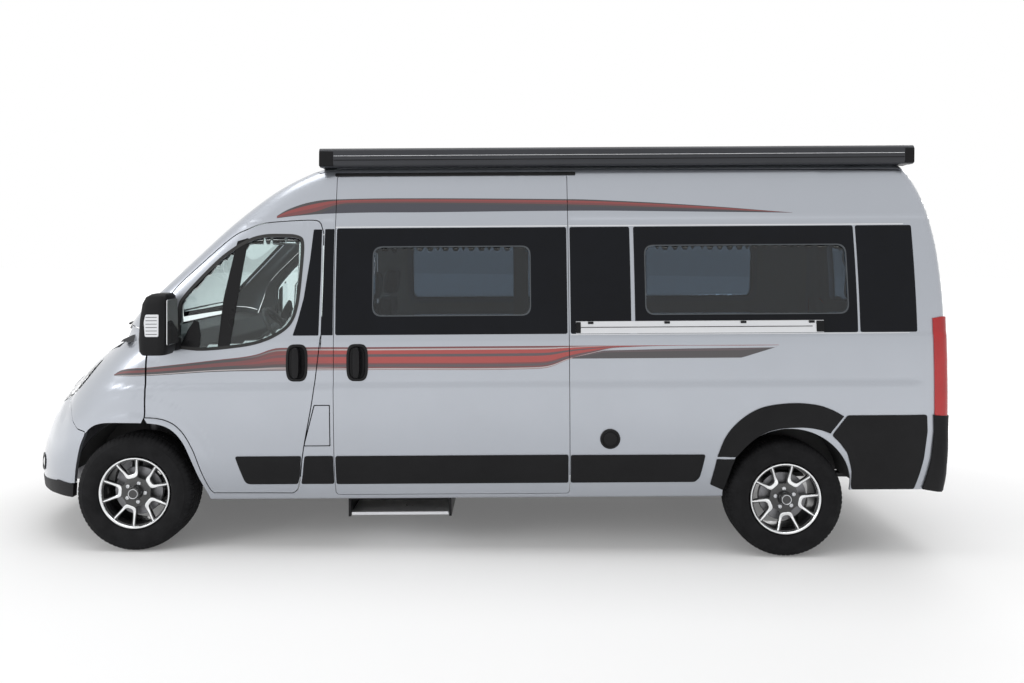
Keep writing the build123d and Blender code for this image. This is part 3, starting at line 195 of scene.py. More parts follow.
def nose_gap(x, y, z):
    """Distance outside the nose: a half width and a falling bonnet that follow the table, widely rounded.

    Towards the doors the side and sill turn into the cab's own, so that the two shapes meet in one surface.
    """
    d = x - FRONT
    width, foot, top, fall, soft = (np.interp(d, NOSE_X, NOSE_VALUES[:, i]) for i in range(5))
    steep, slope = (np.interp(d, NOSE_X, NOSE_SLOPES[:, i]) for i in (0, 2))
    edge = np.interp(d, EDGE_X, EDGE_VALUES[:, 0])
    late = ramp(d, -260.0, 60.0)
    barrel = 8.0 * ((z - 700.0) / 500.0) ** 2
    pressed = relief(x, z)
    side = (np.abs(y) - width - 14.0 * late + barrel - pressed * ramp(d, -560.0, 0.0)) / np.sqrt(1 + steep**2)
    side = smax(side, flank_gap(y, z) - pressed, 2.0 + 28.0 * (1 - late))
    own = ((np.abs(y) - width + 40.0) * 130.0 - (z - foot) * 35.0) / 134.6
    side = smax(side, own + (cab_sill(y, z) - own) * late, 30.0 + 6.0 * late)
    upper = (z - top + fall * (y / edge) ** 2) / np.sqrt(1 + slope**2)
    body = smax(smax(side, upper, soft), (NOSE - x) * 0.9, 16.0)
    return np.maximum(smax(body, foot - z, 30.0 - 18.0 * late), d - 300.0)


def body_gap(x, y, z):
    """Signed distance, roughly, outside the whole body: nose and cab joined, the valley at the screen filled."""
    valley = 1.0 + 45.0 * (1 - ramp(np.abs(y), 760.0, 930.0)) * ramp(z, 1100.0, 1250.0)
    return smin(nose_gap(x, y, z), cab_gap(x, y, z), valley)


AXIS_X, AXIS_Z = smooth_steps(((-400.0, 700.0), (0.0, 790.0), (400.0, 900.0), (5100.0, 900.0)))
TURN = 1000.0  # unrolled length for one radian round the long axis
FORE = FRONT - 330.0  # ahead of here the unrolled skin fans out over the nose
AFT = TAIL - 900.0  # behind here it fans out over the tail
FAN_FORE = 700.0  # unrolled length for one radian of each fan
FAN_AFT = 1100.0


def axis_z(x):
    """Height of the long axis that the skin is unrolled about."""
    return np.interp(x - FRONT, AXIS_X, AXIS_Z[:, 0])


def ray(origin, direction, lift=0.0, reach=2600.0):
    """Where rays from inside the body leave its skin, moved out by lift: halving along each ray."""
    low = np.zeros(len(origin))
    high = np.full(len(origin), reach)
    for _ in range(24):
        mid = (low + high) / 2
        out = body_gap(*(origin + mid[:, None] * direction).T) > lift
        high = np.where(out, mid, high)
        low = np.where(out, low, mid)
    return origin + low[:, None] * direction


def reroll(uv, lift=0.0):
    """Places (u, v) on the unrolled skin as points: v turns about the long axis, u runs along it.

    Between FORE and AFT a ray leaves the axis squarely at x = u; beyond them it leaves the last
    axis point and leans forward or back by the rest of u over the fan's length.
    """
    u, angle = uv[:, 0], uv[:, 1] / TURN
    x = np.clip(u, FORE, AFT)
    lean = np.where(u < FORE, (u - FORE) / FAN_FORE, np.where(u > AFT, (u - AFT) / FAN_AFT, 0.0))
    origin = np.stack([x, 0 * x, axis_z(x)], axis=1)
    across = np.cos(lean)
    return ray(origin, np.stack([np.sin(lean), across * np.cos(angle), across * np.sin(angle)], axis=1), lift)


def unroll(p):
    """Points of the skin as places (u, v), the inverse of reroll."""
    x = np.clip(p[:, 0], FORE, AFT)
    dx, dy, dz = p[:, 0] - x, p[:, 1], p[:, 2] - axis_z(x)
    lean = np.arctan2(dx, np.hypot(dy, dz))
    angle = np.arctan2(dz, dy)
    angle = np.where(angle < -math.pi / 2, angle + 2 * math.pi, angle)
    return np.stack([x + lean * np.where(dx < 0, FAN_FORE, FAN_AFT), angle * TURN], axis=1)


def seen(view, ab, side=1, lift=0.0):
    """Points of the skin seen at (a, b): from the side, ahead, behind or above, in mm."""
    a, b = np.array(ab, float).T
    zero, one = np.zeros_like(a), np.ones_like(a)
    if view == "side":
        start, way = (a, zero, b), (zero, side * one, zero)
    elif view == "above":
        start, way = (a, side * b, 700 * one), (zero, zero, one)
    else:
        x, ahead = {"ahead": (FRONT + 1300, -1), "nose": (FORE, -1), "behind": (TAIL - 600, 1)}[view]
        start, way = (x * one, side * a, b), (ahead * one, zero, zero)
    return ray(np.stack(start, axis=1), np.stack(way, axis=1), lift)


# ---------------------------------------------------------------- outlines on the unrolled skin
def rounded(points, radius):
    """Closed outline with each corner turned on a short arc, as points."""
    p = np.array(points, float)
    out = []
    for before, here, after in zip(np.roll(p, 1, axis=0), p, np.roll(p, -1, axis=0)):
        a, b = before - here, after - here
        la, lb = np.linalg.norm(a), np.linalg.norm(b)
        cut = min(radius, 0.45 * la, 0.45 * lb)
        start, end = here + a / la * cut, here + b / lb * cut
        u = np.linspace(0, 1, 7)[:, None]
        out.append((1 - u) ** 2 * start + 2 * u * (1 - u) * here + u**2 * end)
    return np.vstack(out)


def rectangle(x, z, radius=0.0):
    """Upright rectangle, its corners rounded where it has a radius."""
    corners = [(x[0], z[0]), (x[1], z[0]), (x[1], z[1]), (x[0], z[1])]
    return rounded(corners, radius) if radius else corners


def dense(loop, step, closed=True):
    """Outline with no edge longer than step."""
    loop = np.array(loop, float)
    ends = np.roll(loop, -1, axis=0) if closed else loop[1:]
    out = []
    for a, b in zip(loop, ends):
        count = max(1, int(math.ceil(np.linalg.norm(b - a) / step)))
        out.append(a + (b - a) * (np.arange(count) / count)[:, None])
    return np.vstack(out if closed else out + [loop[-1:]])


def grown(points, amount):
    """Outline with every edge moved out by amount."""
    p = np.array(points, float)
    turn = np.sum(p[:, 0] * np.roll(p[:, 1], -1) - np.roll(p[:, 0], -1) * p[:, 1])
    ahead = np.roll(p, -1, axis=0) - p
    behind = p - np.roll(p, 1, axis=0)
    first = np.arctan2(behind[:, 1], behind[:, 0])
    second = np.arctan2(ahead[:, 1], ahead[:, 0])
    half = ((second - first + math.pi) % (2 * math.pi) - math.pi) / 2
    reach = math.copysign(amount, turn * amount) / np.cos(half) if amount else 0 * half
    angle = first + half - math.pi / 2
    return p + np.stack([reach * np.cos(angle), reach * np.sin(angle)], axis=1)


def on_side(points, side=1, radius=0.0, grow=0.0):
    """Closed outline drawn in the side view, grown and rounded there, as places on the unrolled skin."""
    p = grown(points, grow) if grow else np.array(points, float)
    p = rounded(p, radius) if radius else p
    return unroll(seen("side", dense(p, OUTLINE_STEP), side))


def joined(runs):
    """Closed outline of runs (view, side, points), each drawn in its own view and joined on the unrolled skin."""
    parts = [unroll(seen(v, dense(np.array(p, float), OUTLINE_STEP, False), side)) for v, side, p in runs]
    return dense(np.vstack(parts), OUTLINE_STEP * 1.5)


def one_side(runs, side):
    """Closed outline of runs (view, points), all on one side of the van."""
    return joined([(view, side, p) for view, p in runs])


def both_sides(runs, more=()):
    """Closed outline of runs of the right half, the same runs of the left half in reverse, and any more."""
    back = [(v, -1, np.array(p, float)[::-1]) for v, p in runs[::-1]]
    return joined([(v, 1, p) for v, p in runs] + back + list(more))


def around(count):
    """Angles of a full turn, the last one short of the first."""
    return np.linspace(0, 2 * math.pi, count, endpoint=False)


def arc(cx, cz, radius, start, end, count=40):
    """Points on a circle from one angle to another, in degrees."""
    t = np.radians(np.linspace(start, end, count))
    return np.stack([cx + radius * np.cos(t), cz + radius * np.sin(t)], axis=1)


def within(points, outline):
    """Mask of the points that lie inside a closed outline, by counting crossings."""
    held = np.zeros(len(points), bool)
    ax, ay = outline[:, 0][None], outline[:, 1][None]
    bx, by = np.roll(ax, -1, axis=1), np.roll(ay, -1, axis=1)
    rise = np.where(by == ay, 1e-9, by - ay)
    box = np.all((points > outline.min(axis=0)) & (points < outline.max(axis=0)), axis=1)
    index = np.flatnonzero(box)
    for start in range(0, len(index), 3000):
        part = index[start : start + 3000]
        x, y = points[part, 0][:, None], points[part, 1][:, None]
        cross = (ay > y) != (by > y)
        held[part] = (np.sum(cross & (x < ax + (y - ay) * (bx - ax) / rise), axis=1) % 2) == 1
    return held


def mesh_region(outer, cuts, step):
    """Triangles that fill an outline less its cuts: a grid joined to the outlines by Delaunay's rule."""
    loops = [dense(line, step) for line in [outer] + list(cuts)]
    low, high = loops[0].min(axis=0), loops[0].max(axis=0)
    count = np.maximum(((high - low) / step).astype(int), 1) + 1
    ii, jj = np.meshgrid(np.arange(count[0]), np.arange(count[1]), indexing="ij")
    grid = low + step / 2 + np.stack([ii, jj], axis=2) * step
    free = np.ones(count, bool)
    lines = np.vstack(loops)
    base = np.round((lines - low - step / 2) / step).astype(int)
    for di in (-1, 0, 1):
        for dj in (-1, 0, 1):
            i, j = base[:, 0] + di, base[:, 1] + dj
            ok = (i >= 0) & (i < count[0]) & (j >= 0) & (j < count[1])
            close = np.linalg.norm(low + step / 2 + np.stack([i, j], axis=1) * step - lines, axis=1) < step * 0.55
            free[i[ok & close], j[ok & close]] = False
    inner = grid[free]
    inner = inner[within(inner, loops[0])]
    for line in loops[1:]:
        inner = inner[~within(inner, line)]
    edges, start = [], 0
    for line in loops:
        index = np.arange(len(line))
        edges.append(np.stack([start + index, start + np.roll(index, -1)], axis=1))
        start += len(line)
    spots = [Vector(v) for v in np.vstack(loops + [inner])]
    result = delaunay_2d_cdt(spots, np.vstack(edges).tolist(), [], 0, 1e-3)
    points = np.array([tuple(v) for v in result[0]])
    faces = np.array([f for f in result[2] if len(f) == 3])
    middle = points[faces].mean(axis=1)
    keep = within(middle, loops[0])
    for line in loops[1:]:
        keep &= ~within(middle, line)
    used, faces = np.unique(faces[keep], return_inverse=True)
    return points[used], faces.reshape(-1, 3)


# ---------------------------------------------------------------- meshes
made = {}


def linked(name, data):
    """New object with its data, in the scene."""
    thing = bpy.data.objects.new(name, data)
    bpy.context.scene.collection.objects.link(thing)
    return thing


def add_mesh(name, points, faces, material, body="body", slot=None, level=False, smooth=True, normals=None,
             replaces=()):
    """New piece from points in mm and a list or array of faces, on its body and with its material."""
    mesh = bpy.data.meshes.new(name)
    mesh.from_pydata(place(points, level).tolist(), [], [list(map(int, f)) for f in faces])
    mesh.update()
    if smooth:
        mesh.shade_smooth()
    if normals is not None:
        mesh.normals_split_custom_set_from_vertices((normals if level else tipped(normals)).tolist())
    thing = linked(name, mesh)
    mesh.materials.append(material)
    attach(thing, body)
    if replaces:
        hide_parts(*replaces)
    made[name] = thing
    return thing


def crease(thing, degrees=34.0):
    """Sharp edges wherever two faces meet at more than the angle."""
    thing.data.set_sharp_from_angle(angle=math.radians(degrees))
    return thing


def soften(thing, width, segments):
    """Rounded edges, width in mm."""
    edge = thing.modifiers.new("edges", "BEVEL")
    edge.width, edge.segments = width / 1000.0, segments
    edge.limit_method = "ANGLE"
    edge.harden_normals = True


def unit(v):
    """Vectors in rows, each made one long."""
    return v / np.linalg.norm(v, axis=1, keepdims=True)


def skin_normal(p):
    """Outward normals of the body shape at points near it, from its gradient."""
    reach = np.eye(3) * 0.6
    n = np.stack([body_gap(*(p + e).T) - body_gap(*(p - e).T) for e in reach], axis=1)
    return n / np.maximum(np.linalg.norm(n, axis=1, keepdims=True), 1e-9)


def border(faces):
    """Directed edges that only one triangle uses."""
    edges = np.vstack([faces[:, [0, 1]], faces[:, [1, 2]], faces[:, [2, 0]]])
    _, index, count = np.unique(np.sort(edges, axis=1), axis=0, return_index=True, return_counts=True)
    return edges[index[count == 1]]


def shell_mesh(points, faces, normals, turn_in, depth):
    """Panel mesh, faces outward, with its edge rolled over by turn_in and returned inward to depth."""
    a, b, c = (points[faces[:, k]] for k in range(3))
    wrong = np.sum(np.cross(b - a, c - a) * normals[faces[:, 0]], axis=1) < 0
    faces[wrong] = faces[wrong][:, ::-1]
    if depth <= 0:
        return points, faces, normals
    edge = border(faces)
    ring = np.unique(edge)
    at = np.full(len(points), -1)
    at[ring] = np.arange(len(ring))
    first = len(points) + at
    second = first + len(ring)
    a, b = edge.T
    bands = [(b, a, first[a]), (b, first[a], first[b]), (first[b], first[a], second[a]),
             (first[b], second[a], second[b])]
    rows = [points] + [points[ring] - normals[ring] * d for d in (turn_in, depth)]
    none = np.zeros((2 * len(ring), 3))
    faces = np.vstack([faces] + [np.stack(band, axis=1) for band in bands])
    return np.vstack(rows), faces, np.vstack([normals, none])


def skin(name, outer, cuts, material, body="body", step=36.0, lift=0.0, depth=14.0, turn_in=1.4, view=None, hand=1,
         **more):
    """Panel: an outline less its cuts, on the unrolled skin or in one view, lifted off the body and edged."""
    uv, faces = mesh_region(outer, cuts, step)
    points = seen(view, uv, hand, lift) if view else reroll(uv, lift)
    points, faces, normals = shell_mesh(points, faces, skin_normal(points), turn_in, depth)
    return add_mesh(name, points, faces, material, body, normals=normals, **more)


# ---------------------------------------------------------------- finishes
FLOAT, COLOUR = "NodeSocketFloat", "NodeSocketColor"


def group(name, inputs, outputs, build):
    """Shader node group with named inputs and outputs; build fills it in."""
    tree = bpy.data.node_groups.new(name, "ShaderNodeTree")
    kinds = {float: FLOAT, tuple: COLOUR, list: "NodeSocketVector"}
    for title, value in inputs.items():
        socket = tree.interface.new_socket(title, in_out="INPUT", socket_type=kinds[type(value)])
        socket.default_value = value
    for title, kind in outputs.items():
        tree.interface.new_socket(title, in_out="OUTPUT", socket_type=kind)
    start = tree.nodes.new("NodeGroupInput")
    end = tree.nodes.new("NodeGroupOutput")
    build(tree, start.outputs, end.inputs)
    return tree


def node(tree, kind, links=None, **values):
    """New node with properties and inputs set by name or index, and links made into it."""
    n = tree.nodes.new(kind)
    for key, value in values.items():
        setattr(n, key, value)
    for key, value in (links or {}).items():
        socket = n.inputs[key]
        if isinstance(value, bpy.types.NodeSocket):
            tree.links.new(value, socket)
        else:
            socket.default_value = value
    return n


def maths(tree, operation, *values):
    """Result of an operation on one or two values."""
    return node(tree, "ShaderNodeMath", dict(enumerate(values)), operation=operation).outputs[0]


def spread(tree, value, low, high, start=0.0, end=1.0, **values):
    """Value carried from the range start to end into low to high."""
    return node(tree, "ShaderNodeMapRange", {"Value": value, "From Min": start, "From Max": end, "To Min": low,
                                             "To Max": high}, **values).outputs[0]


def mixed(tree, part, first, second):
    """Colour between two others."""
    return node(tree, "ShaderNodeMix", {0: part, 6: first, 7: second}, data_type="RGBA").outputs[2]


def noise(tree, where, scale, **values):
    """Strength of a noise at a place."""
    return node(tree, "ShaderNodeTexNoise", {"Vector": where, "Scale": scale, **values}).outputs["Fac"]


def split_vector(tree, vector):
    """The three parts of a vector."""
    return node(tree, "ShaderNodeSeparateXYZ", {0: vector}).outputs


def build_grain(tree, start, end):
    """Pebbled moulded plastic: cells and fine noise added."""
    cells = node(tree, "ShaderNodeTexVoronoi", {"Vector": start["Vector"], "Scale": start["Scale"]},
                 feature="SMOOTH_F1")
    fine = noise(tree, start["Vector"], start["Scale"], Detail=3.0)
    tree.links.new(maths(tree, "ADD", cells.outputs["Distance"], fine), end["Height"])
    tree.links.new(fine, end["Mask"])


def build_patchy(tree, start, end):
    """Slow change between two colours, with a finer one inside it."""
    slow = noise(tree, start["Vector"], start["Scale"], Detail=6.0, Roughness=0.65)
    steep = spread(tree, slow, 0.0, 1.0, 0.3, 0.7)
    tree.links.new(mixed(tree, steep, start["First"], start["Second"]), end["Colour"])
    tree.links.new(steep, end["Mask"])


def build_weave(tree, start, end):
    """Plain weave: two sets of threads, over and under each other in a chequer."""
    parts = split_vector(tree, start["Vector"])
    waves = []
    for axis, other in ((0, 1), (1, 0)):
        across, along = (maths(tree, "MULTIPLY", parts[k], start["Scale"]) for k in (axis, other))
        over = maths(tree, "SINE", maths(tree, "MULTIPLY", along, 0.5))
        waves.append(maths(tree, "MULTIPLY", maths(tree, "SINE", across), over))
    tree.links.new(spread(tree, maths(tree, "MAXIMUM", *waves), 0.0, 1.0, -1.0, 1.0), end["Height"])


SPAN_X, SPAN_Z = 6000.0, 2500.0  # the stripes' curves run over this length and height, in mm
# Edges of the stripes: behind the front axle, height
LOW_TOP = [(-137, 1087), (-63, 1125), (122, 1143), (511, 1184), (751, 1213), (900, 1256), (1461, 1258),
           (2694, 1259), (3971, 1258)]
LOW_FOOT = [(-137, 1086), (111, 1091), (511, 1112), (943, 1117), (1461, 1119), (2490, 1119), (2560, 1126),
            (2693, 1175), (2842, 1214), (2971, 1244), (3971, 1255)]
WEDGE_TOP = [(2700, 1184), (2909, 1229), (3400, 1238), (3960, 1242)]
WEDGE_FOOT = [(2700, 1180), (3757, 1180), (3960, 1241)]
HIGH_TOP = [(846, 2057), (961, 2123), (1137, 2170), (1275, 2177), (1834, 2180), (2706, 2169), (3026, 2156),
            (3572, 2121), (4080, 2078)]
HIGH_FOOT = [(846, 2056), (1031, 2076), (1263, 2088), (1834, 2091), (2705, 2095), (3025, 2093), (4080, 2075)]
HIGH_MIDDLE = [(846, 2056.5), (1107, 2095), (1187, 2123), (1267, 2146), (1347, 2152), (2108, 2148),
               (3026, 2124), (4080, 2076.5)]
# Bands of colour up each stripe: end of the band, colour
RED, BRICK, MAROON = (0.40, 0.034, 0.028), (0.26, 0.028, 0.026), (0.16, 0.022, 0.025)
GREY, DARK = (0.075, 0.045, 0.055), (0.030, 0.024, 0.028)
NAVY, LIGHT = (0.018, 0.018, 0.034), (0.55, 0.50, 0.50)
AHEAD_BANDS = [(0.07, DARK), (0.15, LIGHT), (0.42, DARK), (0.72, MAROON), (0.94, DARK), (1.0, MAROON)]
BEHIND_BANDS = [(0.02, MAROON), (0.07, LIGHT), (0.13, MAROON), (0.24, GREY), (0.30, MAROON), (0.57, RED),
                (0.69, GREY), (0.86, RED), (0.92, LIGHT), (1.0, MAROON)]
HIGH_BANDS = [(0.34, NAVY), (0.40, DARK), (0.52, DARK), (0.70, MAROON), (0.88, BRICK), (1.0, DARK)]
WEDGE_BANDS = [(0.75, DARK), (1.0, GREY)]
BLEND = 0.012  # half of the blend between two bands


def height_line(tree, across, points):
    """Height of one stripe edge along the van, 0 to 1, through points (x from the front axle, z) in mm."""
    at = place([(FRONT + x, 0, z) for x, z in points]) * 1000
    line = node(tree, "ShaderNodeFloatCurve", {"Value": across})
    curve = line.mapping.curves[0]
    spots = np.stack([at[:, 0] / SPAN_X + 0.5, at[:, 2] / SPAN_Z], axis=1)
    while len(curve.points) < len(spots):
        curve.points.new(0.5, 0.5)
    for spot, (a, b) in zip(curve.points, spots):
        spot.location = (a, b)
        spot.handle_type = "AUTO_CLAMPED" if len(spots) > 4 else "VECTOR"
    line.mapping.update()
    return line.outputs[0]


def share(tree, value, low, high):
    """Where a value lies between two others, 0 to 1, unclamped outside them."""
    whole = maths(tree, "MAXIMUM", maths(tree, "SUBTRACT", high, low), 0.0004)
    return maths(tree, "DIVIDE", maths(tree, "SUBTRACT", value, low), whole)


def inside(tree, part):
    """1 where a share is between 0 and 1, else 0."""
    return maths(tree, "MULTIPLY", maths(tree, "GREATER_THAN", part, 0.0), maths(tree, "LESS_THAN", part, 1.0))


def colour_bands(tree, part, stops):
    """Bands of colour up a stripe, with narrow blends where they meet."""
    bands = node(tree, "ShaderNodeValToRGB", {"Fac": part})
    elements = bands.color_ramp.elements
    elements[0].position, elements[0].color = 0.0, (*stops[0][1], 1)
    elements[1].position, elements[1].color = 1.0, (*stops[-1][1], 1)
    for (end, colour), (_, following) in zip(stops[:-1], stops[1:]):
        for spot, tint in ((end - BLEND, colour), (end + BLEND, following)):
            elements.new(spot).color = (*tint, 1)
    return bands.outputs["Color"]


def build_livery(tree, start, end):
    """Side stripes: shares of the height between edge curves pick bands of colour; the mask marks them."""
    x, y, z = split_vector(tree, start["Vector"])
    across = spread(tree, x, 0.0, 1.0, -SPAN_X / 2000.0, SPAN_X / 2000.0)
    height = maths(tree, "DIVIDE", z, SPAN_Z / 1000.0)
    flank = maths(tree, "GREATER_THAN", maths(tree, "ABSOLUTE", y), 0.7)
    low, high, upper, wedge = (
        share(tree, height, height_line(tree, across, foot), height_line(tree, across, top))
        for foot, top in ((LOW_FOOT, LOW_TOP), (HIGH_FOOT, HIGH_TOP), (HIGH_MIDDLE, HIGH_TOP), (WEDGE_FOOT, WEDGE_TOP)))
    turn = spread(tree, x, 0.0, 1.0, (FRONT + 620) / 1000.0, (FRONT + 1330) / 1000.0)
    low_colour = mixed(tree, turn, colour_bands(tree, low, AHEAD_BANDS), colour_bands(tree, low, BEHIND_BANDS))
    high_colour = colour_bands(tree, spread(tree, upper, 0.0, 1.0, -1.0), HIGH_BANDS)
    wedge_colour = colour_bands(tree, wedge, WEDGE_BANDS)
    colour, mask = start["Base"], 0.0
    for part, tint, (first, last) in ((low, low_colour, (-137, 3971)), (wedge, wedge_colour, (2700, 3960)),
                                      (high, high_colour, (846, 4080))):
        reach = share(tree, x, (FRONT + first) / 1000.0, (FRONT + last) / 1000.0)
        here = maths(tree, "MULTIPLY", maths(tree, "MULTIPLY", inside(tree, part), inside(tree, reach)), flank)
        colour = mixed(tree, here, colour, tint)
        mask = maths(tree, "MAXIMUM", mask, here)
    tree.links.new(colour, end["Colour"])
    tree.links.new(mask, end["Mask"])


BOTH = {"Colour": COLOUR, "Mask": FLOAT}
ORIGIN = [0, 0, 0]
grain_group = group("moulded_grain", {"Vector": ORIGIN, "Scale": 900.0}, {"Height": FLOAT, "Mask": FLOAT},
                    build_grain)
patchy_group = group("patchy_colour", {"Vector": ORIGIN, "Scale": 3.0, "First": (1, 1, 1, 1),
                                       "Second": (0.9, 0.9, 0.9, 1)}, BOTH, build_patchy)
weave_group = group("plain_weave", {"Vector": ORIGIN, "Scale": 2500.0}, {"Height": FLOAT}, build_weave)


def rgb(values, shade=1.0):
    """Colour with alpha from three numbers."""
    return tuple(min(1.0, v * shade) for v in values) + (1.0,)


def principled(name):
    """New material, its tree, its shader and the object's coordinates."""
    material = bpy.data.materials.new(name)
    material.use_nodes = True
    tree = material.node_tree
    return material, tree, tree.nodes["Principled BSDF"], node(tree, "ShaderNodeTexCoord").outputs["Object"]


def finish(name, colour, rough, metal=0.0, vary=0.08, vary_scale=3.0, grain=None, depth=0.0, rough_vary=0.05,
           weave=None, **sockets):
    """Material: a patchy colour, a roughness that changes with it, and grain or weave in its bump."""
    material, tree, shader, where = principled(name)
    patchy = node(tree, "ShaderNodeGroup", node_tree=patchy_group)
    tree.links.new(where, patchy.inputs["Vector"])
    patchy.inputs["Scale"].default_value = vary_scale
    patchy.inputs["First"].default_value = rgb(colour, 1 + vary)
    patchy.inputs["Second"].default_value = rgb(colour, 1 - vary)
    tree.links.new(patchy.outputs["Colour"], shader.inputs["Base Color"])
    rough = spread(tree, patchy.outputs["Mask"], max(rough - rough_vary, 0.0), min(rough + rough_vary, 1.0))
    tree.links.new(rough, shader.inputs["Roughness"])
    shader.inputs["Metallic"].default_value = metal
    for key, value in sockets.items():
        shader.inputs[key.replace("_", " ")].default_value = value
    if grain or weave:
        source = node(tree, "ShaderNodeGroup", node_tree=grain_group if grain else weave_group)
        tree.links.new(where, source.inputs["Vector"])
        source.inputs["Scale"].default_value = grain or weave
        bump = node(tree, "ShaderNodeBump", {"Height": source.outputs["Height"], "Strength": 0.4, "Distance": depth})
        tree.links.new(bump.outputs[0], shader.inputs["Normal"])
    return material


def glass(name, colour):
    """Tinted glass for closed sheets."""
    material, tree, shader, where = principled(name)
    shader.inputs["Base Color"].default_value = rgb(colour)
    shader.inputs["Transmission Weight"].default_value = 1.0
    shader.inputs["IOR"].default_value = 1.45
    smear = noise(tree, where, 9.0, Detail=5.0)
    tree.links.new(spread(tree, smear, 0.0, 0.006), shader.inputs["Roughness"])
    return material


# Silver paint: the paint's own silver grey, with a cool blue tint that is painted sky reflection; the stripes use the
# same base colour
PAINT = (0.40, 0.424, 0.468)
PAINT_METAL = 0.75
paint = finish("metallic_silver_paint", PAINT, 0.34, PAINT_METAL, 0.012, 2.0, 2600.0, 0.00001, 0.03,
               Coat_Weight=1.0, Coat_Roughness=0.03)
tree = paint.node_tree
shader = tree.nodes["Principled BSDF"]
livery = node(tree, "ShaderNodeGroup", node_tree=group("livery", {"Vector": ORIGIN, "Base": (*PAINT, 1)}, BOTH,
                                                       build_livery))
tree.links.new(node(tree, "ShaderNodeTexCoord").outputs["Object"], livery.inputs["Vector"])
tree.links.new(shader.inputs["Base Color"].links[0].from_socket, livery.inputs["Base"])
tree.links.new(livery.outputs["Colour"], shader.inputs["Base Color"])
tree.links.new(spread(tree, livery.outputs["Mask"], PAINT_METAL, 0.0), shader.inputs["Metallic"])
# name, colour, roughness, metal, change of colour and its scale, grain and its depth
frit = finish("black_window_frit", (0.004, 0.005, 0.008), 0.06, vary=0.2, Specular_IOR_Level=0.16)
dark_window = glass("dark_window_glass", (0.17, 0.21, 0.25))
clear_window = glass("clear_window_glass", (0.72, 0.80, 0.80))
black_plastic = finish("black_moulded_plastic", (0.009, 0.009, 0.010), 0.5, 0.0, 0.15, 3.0, 900.0, 0.0003,
                       Specular_IOR_Level=0.16)
satin_black = finish("satin_black_trim", (0.007, 0.007, 0.008), 0.3, vary=0.15, Specular_IOR_Level=0.2)
window_edge = finish("grey_window_edge", (0.07, 0.08, 0.09), 0.35, vary=0.1)
rubber = finish("black_rubber", (0.010, 0.010, 0.010), 0.62, 0.0, 0.2, 3.0, 1500.0, 0.0003)
tyre_rubber = finish("tyre_rubber", (0.011, 0.011, 0.012), 0.75, 0.0, 0.25, 12.0, 1200.0, 0.0003,
                     Specular_IOR_Level=0.14)
silver_metal = finish("brushed_silver", (0.62, 0.63, 0.65), 0.28, 1.0, 0.04, 30.0)
anodised = finish("anodised_silver", (0.66, 0.67, 0.69), 0.32, 0.8, 0.02, 4.0)
plate_white = finish("blank_plate", (0.72, 0.72, 0.70), 0.35, vary=0.02)
bright_alloy = finish("machined_alloy", (0.80, 0.81, 0.82), 0.2, 1.0, 0.04, 40.0)
black_alloy = finish("black_alloy_paint", (0.012, 0.012, 0.013), 0.22, vary=0.2, Coat_Weight=0.8)
dark_case = finish("anthracite_case", (0.020, 0.022, 0.028), 0.4, 0.0, 0.1, 3.0, 1500.0, 0.0002)
running = finish("underbody_black", (0.020, 0.020, 0.021), 0.6, 0.0, 0.3, 8.0, 300.0, 0.0008)
cast_metal = finish("cast_metal", (0.22, 0.22, 0.23), 0.45, 0.9, 0.2, 15.0, 500.0, 0.0005)
steel = finish("exhaust_steel", (0.32, 0.30, 0.28), 0.38, 1.0, 0.25, 10.0)
cabinet = finish("pale_cabinet_board", (0.42, 0.36, 0.29), 0.35, 0.0, 0.06, 5.0)
cab_trim = finish("grey_cab_trim", (0.045, 0.046, 0.050), 0.55, 0.0, 0.1, 3.0, 1000.0, 0.0005)
lining = finish("light_lining", (0.42, 0.41, 0.39), 0.85, vary=0.05, weave=2200.0, depth=0.0004)
cushion_cloth = finish("cushion_cloth", (0.33, 0.31, 0.28), 0.9, weave=1900.0, depth=0.0005, Sheen_Weight=0.4)
seat_cloth = finish("seat_cloth", (0.045, 0.048, 0.055), 0.9, vary=0.12, weave=1900.0, depth=0.0005,
                    Sheen_Weight=0.4)
welt_cloth = finish("welt_cloth", (0.10, 0.095, 0.09), 0.8, weave=2200.0, depth=0.0003)
red_lens = finish("red_lamp_lens", (0.52, 0.004, 0.006), 0.16, vary=0.1, Coat_Weight=0.25)
clear_lens = glass("clear_lamp_lens", (0.92, 0.93, 0.94))
chrome = finish("lamp_reflector", (0.85, 0.86, 0.87), 0.12, 1.0, 0.03)
roof_pane = finish("smoked_roof_light", (0.05, 0.055, 0.06), 0.15, vary=0.1, Coat_Weight=1.0)
# Slot of the record that each finish stands for
SLOTS = {material.name: slot for slot, materials in (
    ("body_paint", (paint,)), ("dark_glass", (frit, dark_window)), ("clear_glass", (clear_window,)),
    ("black_plastic", (black_plastic, satin_black, window_edge, rubber)), ("tyre", (tyre_rubber,)),
    ("step_metal", (silver_metal, anodised, plate_white, chrome)),
    ("alloy", (bright_alloy, black_alloy, cast_metal)), ("cab_trim", (cab_trim, lining)),
    ("upholstery", (cushion_cloth,)), ("seat_cloth", (seat_cloth,)), ("lamp_lens", (red_lens,)),
    ("headlamp_lens", (clear_lens,))) for material in materials}


# ---------------------------------------------------------------- outlines of the panels
def spline(points, count=8):
    """Smooth open curve through points: each piece a cubic with slopes from its neighbours."""
    p = np.array(points, float)
    padded = np.vstack([2 * p[:1] - p[1:2], p, 2 * p[-1:] - p[-2:-1]])
    slope = (padded[2:] - padded[:-2]) / 2
    u = (np.arange(count) / count)[None, :, None]
    curve = hermite(u, p[:-1, None], p[1:, None], slope[:-1, None], slope[1:, None])
    return np.vstack([curve.reshape(-1, p.shape[1]), p[-1:]])


def ahead_of(points):
    """Points given from the front axle, as points from the middle of the van."""
    return np.array(points, float) + [FRONT, 0.0]


